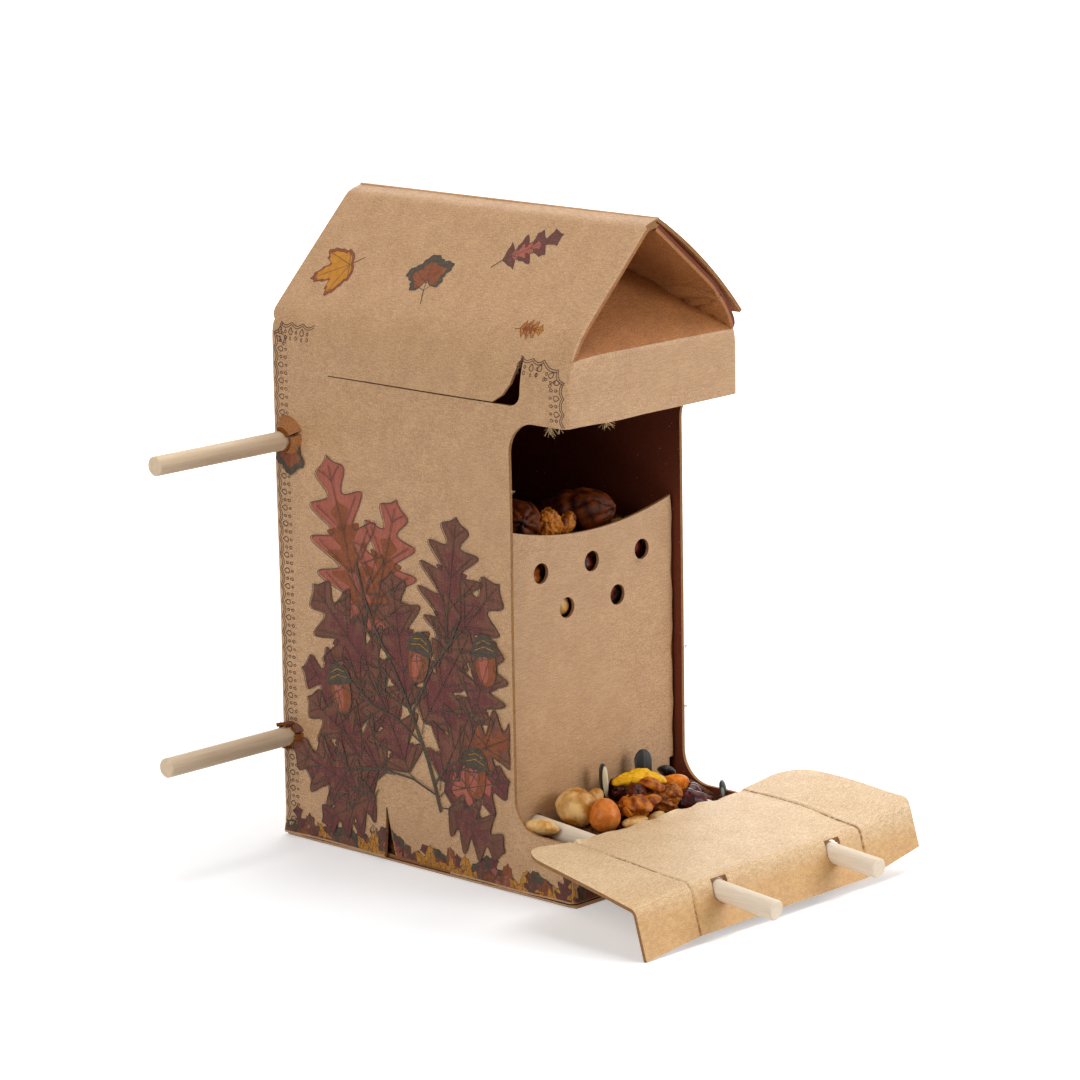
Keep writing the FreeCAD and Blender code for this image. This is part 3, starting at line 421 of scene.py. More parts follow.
def finish_piece(mesh_data, name, body, nodes, materials, smooth=32):
    """Make the piece from a bmesh in millimetres, and tell the frame what it rides on and stands for."""
    bmesh.ops.scale(mesh_data, vec=(MM, MM, MM), verts=mesh_data.verts)
    thing = new_object(name, mesh_data, [MATERIALS[material] for material in materials])
    thing.data.set_sharp_from_angle(angle=math.radians(smooth))
    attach(thing, body)
    if nodes:
        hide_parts(*nodes)


def copied(mesh_data, mesh):
    """Add a mesh to a bmesh and remove the mesh."""
    mesh_data.from_mesh(mesh)
    bpy.data.meshes.remove(mesh)


def mesh_of(data):
    """The mesh of a curve, which is then removed."""
    holder = bpy.data.objects.new(data.name, data)
    mesh = bpy.data.meshes.new_from_object(holder)
    bpy.data.objects.remove(holder)
    bpy.data.curves.remove(data)
    return mesh


def warp(mesh_data, change):
    """Move every vertex by a function that takes and gives an array of places."""
    places = np.array([vert.co for vert in mesh_data.verts])
    for vert, place in zip(mesh_data.verts, change(places)):
        vert.co = place


def fitted(points, low, high):
    """Shares from 0 to 1 between two values."""
    return np.clip((points - low) / (high - low), 0, 1)


def bump(points, middle, width):
    """Shares that are 1 at the middle and fade on both sides over the width."""
    return np.exp(-((points - middle) / width) ** 2)


def reach_of(mesh_data, axis):
    """The lowest and the highest place of a mesh along an axis."""
    places = [vert.co[axis] for vert in mesh_data.verts]
    return min(places), max(places)


NEAR = 0.0005


def cut(mesh_data, point, normal, clear=False):
    """Cut a mesh along a plane, and clear what lies on the normal's side where that is asked for."""
    geometry = mesh_data.verts[:] + mesh_data.edges[:] + mesh_data.faces[:]
    bmesh.ops.bisect_plane(mesh_data, geom=geometry, dist=NEAR, plane_co=point, plane_no=normal,
                           clear_outer=clear)


def cut_across(mesh_data, axis, values):
    """Cut the faces along planes square to an axis."""
    normal = Vector((0, 0, 0))
    normal[axis] = 1
    for value in values:
        cut(mesh_data, normal * value, normal)


# Distances in millimetres from a fold at which its panels are cut
BESIDE_FOLD = (0.35, 0.8, 1.3, 2.1, 3.2)
# Lines closer than this to a panel's edge would leave slivers
FROM_EDGE = 0.02


def cell_lines(axis, low, high):
    """Where panels are cut into cells: even steps, with close lines beside the folds."""
    cell = bpy.context.scene.feeder_board.cell / MM
    first, last = ((-HALF_WIDTH, HALF_WIDTH), (-HALF_DEPTH, HALF_DEPTH), (0.0, EAVE))[axis]
    count = round((last - first) / cell)
    lines = [first + (last - first) * index / count for index in range(1, count)]
    for step in BESIDE_FOLD:
        lines += [first + step, last - step]
    if axis == 2:
        lines += [EAVE + 1.7 * step for step in range(-10, 12)]
        lines += [RIDGE_LEFT.y - step for step in BESIDE_FOLD]
        lines += [EAVE + 24, EAVE + 29, EAVE + 34]
    if axis == 0:
        lines += [RIDGE_LEFT.x - step for step in BESIDE_FOLD]
        lines += [RIDGE_LEFT.x + step for step in BESIDE_FOLD[:4]]
    return sorted(line for line in set(lines) if low + FROM_EDGE < line < high - FROM_EDGE)


def cut_into_cells(mesh_data, axes=(0, 1, 2)):
    """Cut a panel along the cell lines that cross it."""
    for axis in axes:
        cut_across(mesh_data, axis, cell_lines(axis, *reach_of(mesh_data, axis)))


# Nodes whose own cut edges lie at an outer corner, where the other panels' liner runs round the fold
RAW_AT_CORNERS = ("roof_cover_flap", "roof_ridge_strip", "ridge_inner_flap", "eave_tongue", "landing_deck",
                  "landing_lip", "left_landing_wing", "right_landing_wing", "left_wing_lip", "right_wing_lip")


def at_fold(face):
    """Whether a narrow face lies where the sheet runs round an outer corner or the eave."""
    middle = face.calc_center_median()
    corner = abs(middle.x) > HALF_WIDTH - 0.1 and abs(face.normal.x) > 0.6
    end = abs(middle.y) > HALF_DEPTH - 0.1 and abs(face.normal.y) > 0.6
    eave = abs(middle.z - EAVE) < 1.5 * BOARD and abs(face.normal.z) > 0.6
    return corner or end or eave


def faces_inside(face):
    """Whether a face looks into the box."""
    middle = face.calc_center_median()
    return face.normal.dot(Vector((middle.x, middle.y, middle.z - 110)) * Vector((1, 1, 0.3))) < -6


def connected(left, smooth):
    """Take the faces that join the first one over edges bent by less than the given cosine out of a set."""
    region = {left.pop()}
    border = list(region)
    while border:
        face = border.pop()
        for other in {other for edge in face.edges for other in edge.link_faces}:
            if other in left and other.normal.dot(face.normal) > smooth:
                left.discard(other)
                region.add(other)
                border.append(other)
    return region


def mark_cut_edges(mesh_data, node, liner, raw, inner):
    """Give each smooth region its material: cut edge where it is narrow, inner liner inside the box, mostly
    painted shade.
    """
    left = set(mesh_data.faces)
    while left:
        region = connected(left, 0.87)
        area = sum(face.calc_area() for face in region)
        rim = sum(edge.calc_length() for face in region for edge in face.edges
                  if any(other not in region for other in edge.link_faces))
        narrow = area / max(rim, 0.001) < 0.56 * BOARD
        for face in region:
            # Painted shade: the right slope's front end takes the raw material, which for this slope is the
            # dark inside liner, as a shadowed gap
            shaded_roof_end = node == "roof_right_slope" and abs(face.normal.y) > 0.6
            if shaded_roof_end or (narrow and (node in RAW_AT_CORNERS or not at_fold(face))):
                face.material_index = raw
            elif not narrow and faces_inside(face):
                face.material_index = inner
            else:
                face.material_index = liner


def board_copy(node, liner=0, raw=1, inner=2):
    """A board node's mesh in millimetres, merged, with its flat faces whole and its cut edges marked."""
    copy = bmesh.new()
    copy.from_mesh(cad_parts[node].data)
    bmesh.ops.scale(copy, vec=(1 / MM, 1 / MM, 1 / MM), verts=copy.verts)
    bmesh.ops.remove_doubles(copy, verts=copy.verts, dist=0.003)
    bmesh.ops.dissolve_limit(copy, angle_limit=math.radians(0.5), verts=copy.verts, edges=copy.edges)
    mark_cut_edges(copy, node, liner, raw, inner)
    return copy


def soften(points, axes, corner, way_in, way_out, reach):
    """What a sharp fold's points move by to make it a soft bend, along the bisector of the fold."""
    flat = points[:, axes] - np.array(corner)
    way_in = np.array(way_in)
    way_out = np.array(way_out)
    along = np.maximum(-(flat @ way_in), flat @ way_out)
    share = np.clip(reach - along, 0, None) ** 2 / (4 * reach)
    move = np.zeros_like(points)
    move[:, axes] = share[:, None] * (way_out - way_in)
    return move


# Where the board's waves start; unseeded, the noise would be another one at each run
WAVE_SEED = 3


def waves(points, shift=(0, 0, 0)):
    """Slow random moves, the same at each run, which leave a panel slightly uneven."""
    noise.seed_set(WAVE_SEED)
    length = bpy.context.scene.feeder_board.wave_length / MM
    return np.array([noise.noise_vector(Vector(point) / length + Vector(shift)) for point in points])


# Half the width in millimetres of the folds at the gables and at the foot
GABLE_REACH = 1.8
FOOT_REACH = 2.0


def settled(points):
    """Where the folded sheet's points lie: its folds are soft and its panels slightly uneven."""
    sizes = bpy.context.scene.feeder_board
    right_reach = sizes.right_eave_reach / MM
    steep = (KNEE - Vector((HALF_WIDTH, EAVE))).normalized()
    upper = (RIDGE_LEFT - KNEE).normalized()
    strip = (RIDGE_RIGHT - RIDGE_LEFT).normalized()
    back_share = np.clip((points[:, 1] + HALF_DEPTH) / (2 * HALF_DEPTH), 0, 1)
    eave_reach = (sizes.eave_reach_front * (1 - back_share) + sizes.eave_reach_rear * back_share) / MM
    below_eave = np.clip((EAVE + 4 - points[:, 2]) / 4, 0, 1)[:, None]
    move = np.zeros_like(points)
    for x, y, way_in, way_out in ((-1, -1, (0, -1), (1, 0)), (1, -1, (1, 0), (0, 1)),
                                  (1, 1, (0, 1), (-1, 0)), (-1, 1, (-1, 0), (0, -1))):
        spot = (x * HALF_WIDTH, y * HALF_DEPTH)
        move += below_eave * soften(points, (0, 1), spot, way_in, way_out, sizes.corner_reach / MM)
    for spot, way_in, way_out, reach in (
            ((-HALF_WIDTH, EAVE), (0, 1), SLOPE_WAY, eave_reach),
            ((HALF_WIDTH, EAVE), (0, 1), steep, right_reach),
            (KNEE, steep, upper, right_reach), (RIDGE_LEFT, SLOPE_WAY, strip, sizes.ridge_reach / MM)):
        move += soften(points, (0, 2), spot, way_in, way_out, reach)
    for side in (-1, 1):
        panel_way = (-side * GABLE_WAY.x, GABLE_WAY.y)
        move += soften(points, (1, 2), (side * HALF_DEPTH, EAVE), (0, 1), panel_way, GABLE_REACH)
        move += soften(points, (0, 2), (side * HALF_WIDTH, 0), (0, -1), (-side, 0), FOOT_REACH)
    move += soften(points, (1, 2), (HALF_DEPTH, 0), (0, -1), (-1, 0), FOOT_REACH)
    return points + move + sizes.wave_height / MM * waves(points)


# By default a panel's faces inside the box take the liner with painted shade
def board_piece(node, liner, *shapes, after=None, inner="inside_shade", raw="cut", lines=None):
    """A board panel's piece: its node's copy, cut into cells and more lines, shaped, folded and finished."""
    panel = board_copy(node)
    cut_into_cells(panel)
    for axis, values in (lines(panel) if lines else ()):
        cut_across(panel, axis, values)
    for shape in shapes:
        warp(panel, shape)
    warp(panel, settled)
    if after:
        warp(panel, after)
    finish_piece(panel, node + "_board", "box", [node], [liner, raw, inner])


# Walls

def tongue_stands_out(points):
    """The eave's tongue springs slightly out of the wall at its front end, and its slit closes behind."""
    moved = points.copy()
    down = fitted(points[:, 2], EAVE - 6, TONGUE_LOW.z)
    front = fitted(points[:, 1], TONGUE_HIGH.y, TONGUE_LOW.y)
    moved[:, 0] -= 0.8 * down * front ** 2
    moved[:, 2] -= 0.42 * down * (1 - 0.7 * front)
    return moved


def lock_is_pushed_in(points):
    """The lock tab is pushed in at its foot, so that a wedge of shadow shows behind it."""
    moved = points.copy()
    down = fitted(points[:, 2], LOCK_HIGH.z, LOCK_LOW.z)
    rear = fitted(points[:, 1], LOCK_HIGH.y - 8, LOCK_HIGH.y)
    moved[:, 1] -= 2.6 * down * rear
    moved[:, 0] += 1.5 * down ** 1.2
    return moved


def foot_lifts(points):
    """A wall's foot stands off the flap below it, flares at the rear and springs out beside the lock tab."""
    moved = points.copy()
    x, y, z = points.T
    foot = fitted(z, WALL_LOW.z + 2, WALL_LOW.z)
    moved[:, 2] += foot * (0.35 + 0.3 * np.sin(y / 9.0) * np.sin(y / 23.0 + 1))
    left = fitted(-x, HALF_WIDTH - 2, HALF_WIDTH - BOARD)
    low = fitted(z, 22, WALL_LOW.z)
    behind_lock = bump(np.clip(y - LOCK_HIGH.y, 0, None), 0, 16) * (y > LOCK_HIGH.y - 1)
    moved[:, 0] -= left * low ** 1.5 * 1.4 * behind_lock
    flare = fitted(z, 8, WALL_LOW.z) ** 2 * fitted(y, HALF_DEPTH - 12, HALF_DEPTH)
    moved[:, 0] -= left * 1.2 * flare
    moved[:, 1] += 0.9 * flare
    return moved


def header_hangs(points):
    """The header's lower edge is slightly uneven, and the panel bulges a little."""
    moved = points.copy()
    low = fitted(points[:, 2], HEADER_LOW + 6, HEADER_LOW)
    moved[:, 2] -= low * (0.4 * bump(points[:, 0], -20, 9))
    moved[:, 1] -= 0.5 * np.cos(points[:, 0] / HALF_WIDTH * math.pi / 2) * low
    return moved


class FEEDER_OT_walls(bpy.types.Operator):
    """Fold the four walls, the header, the low front wall, the seam and the bottom"""
    bl_idname = "feeder.walls"
    bl_label = "Walls and bottom"

    def execute(self, context):
        """Make one piece for each panel."""
        board_piece("left_wall", "side", foot_lifts)
        board_piece("right_wall", "side", foot_lifts)
        board_piece("side_seam_tab", "side")
        board_piece("eave_tongue", "side", after=tongue_stands_out)
        board_piece("bottom_lock_tab", "side", lock_is_pushed_in)
        board_piece("back_wall", "front")
        board_piece("front_header", "front", header_hangs)
        board_piece("front_low_wall", "front", foot_lifts)
        for flap in ("outer", "left", "right", "tuck"):
            board_piece("bottom_%s_flap" % flap, "front")
        return {"FINISHED"}


# Roof

# Wrinkles that run out from the knee: height, angle from the depth in radians and width
WRINKLES = ((1, 0.02, 0.07), (-0.8, 0.16, 0.07), (0.8, 0.34, 0.08), (-0.8, 0.5, 0.07), (0.6, 0.72, 0.09),
            (-0.7, -0.16, 0.08), (0.7, -0.36, 0.08))


def knee_wrinkles(points):
    """Creases that run in from the knee across the right gusset, in its own plane under the slope."""
    depth = HALF_DEPTH + 2 - np.abs(points[:, 1])
    above = (KNEE.x - points[:, 0]) * 0.78 + (points[:, 2] - KNEE.y) * 0.62
    away = np.hypot(depth, above)
    angle = np.arctan2(above, depth)
    fade = bump(away, 0, 30) * np.clip(away / 6, 0, 1)
    fold = sum(height * bump(angle, middle, width) for height, middle, width in WRINKLES)
    return points + (fade * fold * 1.3)[:, None] * np.array([-0.7, 0.0, -0.7])


def wrinkle_lines(panel):
    """Lines close enough for the wrinkles of a right gusset."""
    for axis, count in ((0, 30), (2, 20)):
        low, high = reach_of(panel, axis)
        yield axis, [low + (high - low) * (step + 0.5) / count for step in range(count)]


def gable_swells(points):
    """The gable panel is slightly crowned."""
    moved = points.copy()
    up = fitted(points[:, 2], EAVE, SLOPE_HIGH.z)
    middle = np.clip(1 - np.abs(points[:, 0]) / (HALF_WIDTH * (1.02 - up)), 0, 1)
    moved[:, 1] += np.sign(points[:, 1]) * 1.1 * middle * np.sin(math.pi * np.clip(up * 1.3, 0, 1))
    return moved


def cover_is_uneven(points):
    """The loose cover flap's free edge waves a little."""
    moved = points.copy()
    out = fitted(points[:, 0], RIDGE_RIGHT.x, HALF_WIDTH)
    moved[:, 2] += 0.5 * out ** 2 * np.sin(points[:, 1] / 17.0)
    return moved


def cover_meets_crease(points):
    """The cover flap's hinge edge runs up into the crease, so that it stays joined when the flap swings."""
    moved = points.copy()
    near = fitted(points[:, 0], RIDGE_RIGHT.x + 3.0, RIDGE_RIGHT.x + 0.2)
    moved[:, 0] -= 0.25 * near
    moved[:, 2] += 0.1 * near
    return moved


# Radius of the crease in millimetres, and how far its middle lies from the ridge strip's upper right edge
CREASE_RADIUS = 0.74
CREASE_SHIFT = Vector((0.2, -0.3))


def crease_roll():
    """The rolled board of the right ridge crease, round the line on which the cover flap swings."""
    roll = bmesh.new()
    ends = bmesh.ops.create_cone(roll, cap_ends=True, segments=16, radius1=CREASE_RADIUS,
                                 radius2=CREASE_RADIUS, depth=2 * HALF_DEPTH - 0.2)["verts"]
    x, z = RIDGE_RIGHT + CREASE_SHIFT
    bmesh.ops.rotate(roll, matrix=Matrix.Rotation(math.pi / 2, 3, "X"), verts=ends)
    bmesh.ops.translate(roll, vec=(x, 0, z), verts=ends)
    cut_into_cells(roll, (1,))
    finish_piece(roll, "ridge_crease_roll", "box", [], ["side"])


class FEEDER_OT_roof(bpy.types.Operator):
    """Fold the roof: both slopes, the ridge, the loose cover flap and the gables"""
    bl_idname = "feeder.roof"
    bl_label = "Roof"

    def execute(self, context):
        """Make one piece for each panel."""
        for node in ("roof_left_slope", "roof_ridge_strip", "ridge_inner_flap"):
            board_piece(node, "side", inner="roof_shade")
        # The right slope's cut edges and front end take the dark inside liner: a painted gap shadow
        board_piece("roof_right_slope", "side", inner="roof_shade", raw="inside_shade")
        for end in ("front", "rear"):
            # The gables and their gussets take the liner with painted shade
            board_piece(end + "_gable_panel", "roof_shade", gable_swells)
            board_piece(end + "_left_gusset", "roof_shade", inner="roof_shade")
            board_piece(end + "_right_gusset", "roof_shade", knee_wrinkles, inner="roof_shade", lines=wrinkle_lines)
        cover = board_copy("roof_cover_flap")
        cut_into_cells(cover, (1,))
        warp(cover, cover_is_uneven)
        warp(cover, cover_meets_crease)
        finish_piece(cover, "roof_cover_flap_board", "cover", ["roof_cover_flap"],
                     ["side", "cut", "roof_shade"])
        crease_roll()
        return {"FINISHED"}


# Chute panel

# Heights in millimetres between which the notch in the chute's right edge opens and closes
NOTCH = (27.4, 27.9, 32.3, 32.8)


def chute_edge_is_ragged(points):
    """The chute panel's right edge is torn slightly unevenly, with one small notch near its foot."""
    moved = points.copy()
    x, z = points[:, 0], points[:, 2]
    edge = fitted(x, CHUTE_HIGH.x - 1.5, CHUTE_HIGH.x)
    moved[:, 0] -= edge * (0.45 + 0.35 * np.sin(z / 5.1) + 0.25 * np.sin(z / 2.3 + 1))
    notch = fitted(z, NOTCH[0], NOTCH[1]) * fitted(z, NOTCH[3], NOTCH[2])
    moved[:, 0] -= fitted(x, CHUTE_HIGH.x - 2.6, CHUTE_HIGH.x) * 2.3 * notch
    return moved


def ragged_lines(panel):
    """Lines close enough for the chute's ragged edge."""
    return ((0, [CHUTE_HIGH.x - step for step in (0.7, 1.5, 2.6)]),
            (2, [*NOTCH] + [2.5 * step for step in range(1, 50)]))


class FEEDER_OT_chute(bpy.types.Operator):
    """Set the chute panel with its vents and its two side tabs into the box"""
    bl_idname = "feeder.chute"
    bl_label = "Chute panel"

    def execute(self, context):
        """Make the panel and its tabs."""
        board_piece("chute_panel", "front", chute_edge_is_ragged, inner="front", lines=ragged_lines)
        board_piece("chute_left_tab", "side")
        board_piece("chute_right_tab", "side")
        return {"FINISHED"}


# Landing

LANDING_SLOPE = math.radians(4.8)
LIP_LEAN = math.radians(16.5)
BEND_RADIUS = 3.6
BEND_Y = -126.8
BEND_Z = 20.4
BEND_CENTRE = (BEND_Y + BEND_RADIUS * math.sin(LANDING_SLOPE), BEND_Z - BEND_RADIUS * math.cos(LANDING_SLOPE))


def section_inward(points):
    """The way into the board, in YZ, for the landing's section: down on the deck, back on the lip."""
    turn = np.arctan2(BEND_CENTRE[0] - points[:, 1], points[:, 2] - BEND_CENTRE[1])
    deck = -LANDING_SLOPE
    lip = math.pi / 2 - LIP_LEAN
    turn = np.where(points[:, 1] > BEND_CENTRE[0], deck, np.clip(turn, deck, lip))
    turn = np.where(points[:, 2] < BEND_CENTRE[1], lip, turn)
    return np.stack([np.sin(turn), -np.cos(turn)], axis=1)


# Tilt of the wings in degrees: at the wall, at the lip, and as the solids have it
LEFT_TILT = (7.0, -6.0, 2.0)
RIGHT_TILT = (6.5, 11.0, 9.5)


def landing_lies(points):
    """The landing's real lie: creases pressed in, wings twisted, deck crowned and hinge edge torn."""
    moved = points.copy()
    x, y = points.T[:2]
    out = np.clip(np.abs(x) - HALF_WIDTH, 0, None)
    run = fitted(y, -HALF_DEPTH, BEND_Y)
    left, right = [tilt[0] + (tilt[1] - tilt[0]) * run for tilt in (LEFT_TILT, RIGHT_TILT)]
    tilt = np.where(x < 0, left, right)
    stated = np.where(x < 0, LEFT_TILT[2], RIGHT_TILT[2])
    moved[:, 2] += out * (np.tan(np.radians(tilt)) - np.tan(np.radians(stated)))
    right_share = fitted(x, -HALF_WIDTH, HALF_WIDTH)
    moved[:, 2] += (0.4 * (1 - right_share) + 1.4 * right_share) * np.sin(math.pi * np.clip(run, 0, 0.85))
    groove = bpy.context.scene.feeder_board.groove / MM
    wander = 0.25 * np.sin(y / 7.3) + 0.15 * np.sin(y / 3.1 + x)
    beside = np.abs(np.abs(x) - HALF_WIDTH + wander)
    pressed = groove * bump(beside, 0, 0.5) - 0.35 * groove * bump(beside, 1.3, 0.6)
    moved[:, 1:] += pressed[:, None] * section_inward(points)
    hinge = fitted(y, -HALF_DEPTH - 2.5, -HALF_DEPTH)
    bites = np.abs(np.sin(x / 5.5 * math.pi / 2 + 0.6 * np.sin(x / 9))) ** 0.7
    middle = np.abs(x) < HALF_WIDTH - 1
    moved[:, 1] -= np.where(middle, hinge * 1.15 * bites, 0)
    moved[:, 2] += np.where(middle, hinge * 0.8 * np.sin(x / 4.1) * np.sin(x / 7.7 + 1), 0)
    return moved + 0.3 * waves(points, (5, 0, 0))


def landing_lines(node):
    """Where a part of the landing is cut along X, Y and Z."""
    lines = ([value * 5.0 for value in range(-15, 16)], [value * 4.0 for value in range(-35, -17)],
             [value * 3.0 for value in range(1, 6)])
    for side in (-1, 1):
        for step in (0.35, 0.7, 1.1, 1.6, 2.3, 3.2):
            lines[0].extend([side * (HALF_WIDTH + step), side * (HALF_WIDTH - step)])
    lines[1].extend([-HALF_DEPTH - step for step in (0.6, 1.4, 2.4)])
    if node == "landing_deck":
        lines[0].extend([value * 0.825 for value in range(-52, 53)])
    return lines


def landing_piece(node):
    """One part of the landing, cut closely enough for its bend, its creases and its torn hinge edge."""
    part = board_copy(node)
    low, high = box_mm(node)
    for axis, lines in enumerate(landing_lines(node)):
        inside = {line for line in lines if low[axis] + FROM_EDGE < line < high[axis] - FROM_EDGE}
        cut_across(part, axis, sorted(inside))
    warp(part, landing_lies)
    finish_piece(part, node + "_board", "box", [node], ["landing", "cut", "landing"])


class FEEDER_OT_landing(bpy.types.Operator):
    """Fold the landing out of the window: deck, lip and two wings"""
    bl_idname = "feeder.landing"
    bl_label = "Landing"

    def execute(self, context):
        """Make its six parts."""
        for node in ("landing_deck", "landing_lip", "left_landing_wing", "right_landing_wing",
                     "left_wing_lip", "right_wing_lip"):
            landing_piece(node)
        return {"FINISHED"}


# Print: shapes in a panel's own plane, u to the viewer's right and v up, in millimetres

# A three-lobed leaf's right side from tip to stem: angle from the tip in degrees and share of the length
FIELD_MAPLE = [(0, 1.0), (5, 0.9), (8, 0.92), (13, 0.74), (17, 0.72), (22, 0.58), (28, 0.56), (33, 0.66),
               (37, 0.76), (41, 0.74), (46, 0.86), (50, 0.88), (54, 0.78), (59, 0.76), (64, 0.62), (71, 0.56),
               (79, 0.44), (88, 0.46), (97, 0.36), (110, 0.28), (130, 0.18), (155, 0.1)]


def field_maple(length):
    """A three-lobed leaf with rounded teeth, its stem's root at the origin, and its vein tips."""
    right = [(math.radians(90 - angle), radius * length) for angle, radius in FIELD_MAPLE]
    left = [(math.pi - angle, radius) for angle, radius in right[:0:-1]]
    points = [(radius * math.cos(angle), radius * math.sin(angle)) for angle, radius in right + left]
    tips = [(0, 0.98), (0.66, 0.56), (-0.66, 0.56), (0.38, 0.02), (-0.38, 0.02)]
    return points, [(length * u, length * v) for u, v in tips]


ROUND_LEAF_STEPS = 72


def round_leaf(length):
    """A broad leaf with three blunt scalloped lobes, and its vein tips."""
    points = []
    for step in range(ROUND_LEAF_STEPS):
        angle = 2 * math.pi * step / ROUND_LEAF_STEPS - math.pi / 2
        up = math.sin(angle)
        lobes = 0.42 + 0.055 * math.cos(5 * (angle - math.pi / 2)) + 0.018 * math.cos(19 * angle) + 0.03 * up
        from_stem = min(step, ROUND_LEAF_STEPS - step)
        notch = 0.2 * math.exp(-(from_stem / 3.5) ** 2)
        points.append((length * (lobes - notch) * math.cos(angle), length * ((lobes - notch) * up + 0.42)))
    tips = [(0, 0.84), (0.33, 0.62), (-0.33, 0.62), (0.24, 0.2), (-0.24, 0.2)]
    return points, [(length * u, length * v) for u, v in tips]


def oak_body(share):
    """How wide an oak leaf is at a share of its length, of 1 at most."""
    return math.sin(math.pi * share ** 0.72) ** 0.62


def oak(length, width, lobes=4):
    """A long leaf's outline with rounded lobes that point forward, and its vein tips."""
    steps = 14 * lobes
    side = []
    for step in range(steps + 1):
        share = step / steps
        wave = math.cos(2 * math.pi * (lobes * share - 0.5))
        half = width / 2 * oak_body(share) * (0.66 + 0.34 * wave)
        side.append((half, length * (share + 0.05 * wave * math.sin(math.pi * share))))
    points = side + [(-u, v) for u, v in side[-2:0:-1]]
    tips = [(0, length * 0.97)]
    for lobe in range(lobes):
        share = (lobe + 0.5) / lobes
        half = width / 2 * oak_body(share) * 0.86
        tips += [(half, length * (share + 0.05)), (-half, length * (share + 0.05))]
    return points, tips


def pointed_oak(length, width):
    """An oak leaf with bristle-tipped lobes."""
    points, tips = oak(length, width, 4)
    count = len(points)
    sharp = []
    for index, (u, v) in enumerate(points):
        bristle = 1.22 if index % 8 == 0 and 8 <= index <= count - 8 else (0.92 if index % 4 == 2 else 1.0)
        sharp.append((u * bristle, v))
    return sharp, tips


def wider(shape, stretch):
    """A leaf stretched in its width."""
    points, tips = shape
    return [(u * stretch, v) for u, v in points], [(u * stretch, v) for u, v in tips]


def placed(points, spot, turn):
    """Turn shapes by degrees about their root and move them."""
    angle = math.radians(turn)
    return [(spot[0] + (u * math.cos(angle) - v * math.sin(angle)),
             spot[1] + (u * math.sin(angle) + v * math.cos(angle))) for u, v in points]


class Sheet:
    """The ink of one printed area: filled outlines in layers, and lines."""

    def __init__(self):
        self.fills = []
        self.lines = []

    def fill(self, name, points, layer=0):
        """Add a filled outline."""
        self.fills.append((name, layer, points))

    def line(self, name, points, closed=False, width=1.0):
        """Add a line whose width is a share of the usual one."""
        self.lines.append((name, points, closed, width))

    def leaf(self, shape, spot, turn, base, heart, vein="charcoal", stem=0.35, layer=0, weight=1.0,
             core=0.62):
        """Add a leaf with a second tone at its heart, an outline, veins and a stem."""
        points, tips = shape
        reach = tips[0][1]
        outline = placed(points, spot, turn)
        self.fill(base, outline, layer)
        if heart:
            inner = [(u * core, reach * 0.3 + (v - reach * 0.3) * core) for u, v in points]
            self.fill(heart, placed(inner, spot, turn), layer + 1)
        self.line(vein, outline, True, 0.9 * weight)
        for index, tip in enumerate(tips):
            root = (0, 0) if index == 0 else (0, max(0.0, tip[1] - abs(tip[0]) * 1.05))
            middle = ((root[0] + tip[0]) / 2 * 0.94, (root[1] + tip[1]) / 2)
            path = [root, middle, (tip[0] * 0.88, tip[1] * 0.97)]
            self.line(vein, placed(path, spot, turn), False, 0.8 * weight)
        if stem:
            self.line(vein, placed([(0, 0), (reach * 0.05, -reach * stem)], spot, turn), False, 1.2 * weight)


def teardrop(middle, low, high, width, steps=12):
    """A closed drop between two heights, pointed at the low end."""
    points = []
    for step in range(steps):
        angle = 2 * math.pi * step / steps
        rise = (1 - math.cos(angle)) / 2
        points.append((middle + width / 2 * math.sin(angle) * math.sin(math.pi * rise / 2 + 0.15),
                       low + (high - low) * rise))
    return points


def lace_scallop(sheet, start, end):
    """One scallop of lace between two cusps: double swag, a ring with a drop, and hanging beads."""
    way = Vector((end[0] - start[0], end[1] - start[1]))
    reach = way.length
    way.normalize()
    inward = Vector((way.y, -way.x))

    def put(points, closed, width=0.8):
        """Add a line that is given along and across the scallop."""
        sheet.line("lace", [(start[0] + a * way.x + b * inward.x, start[1] + a * way.y + b * inward.y)
                            for a, b in points], closed, width)

    swag = [(reach * step / 8, math.sin(math.pi * step / 8)) for step in range(9)]
    put([(a, 0.1 + 1.3 * dip) for a, dip in swag], False, 1.0)
    put([(a, 1.05 + 1.3 * dip) for a, dip in swag], False, 0.9)
    middle = reach / 2
    put(teardrop(0, 2.2, 5.0, 2.2), True, 1.0)
    put(teardrop(middle, 3.2, 4.5, 1.1, 8), True, 0.9)
    put(teardrop(middle, 5.3, 6.9, 1.2, 8), True, 0.9)
    put(teardrop(0, 5.8, 7.1, 1.0, 8), True, 0.8)


def curve_mesh(paths, width=None):
    """A mesh in the XY plane: closed filled outlines, or thin lines where a width is given."""
    data = bpy.data.curves.new("shapes", "CURVE")
    if width is None:
        data.dimensions = "2D"
        data.fill_mode = "BOTH"
    else:
        data.dimensions = "3D"
        data.bevel_depth = width / 2
        data.bevel_resolution = 0
    for points, closed in paths:
        spline = data.splines.new("POLY")
        spline.points.add(len(points) - 1)
        for knot, (u, v) in zip(spline.points, points):
            knot.co = (u, v, 0, 1)
        spline.use_cyclic_u = closed
    return mesh_of(data)


# Heights of the ink over the board in millimetres: of a sheet's lowest layer, of each layer over the one
# below, of each fill over the one before (counted anew after the round), and of the lines over the top layer
INK_LIFT = 0.03
LAYER_LIFT = 0.016
FILL_LIFT = 0.0002
FILL_ROUND = 40
LINE_LIFT = 0.05
# Height of a line's section as a share of its width
LINE_FLATNESS = 0.12


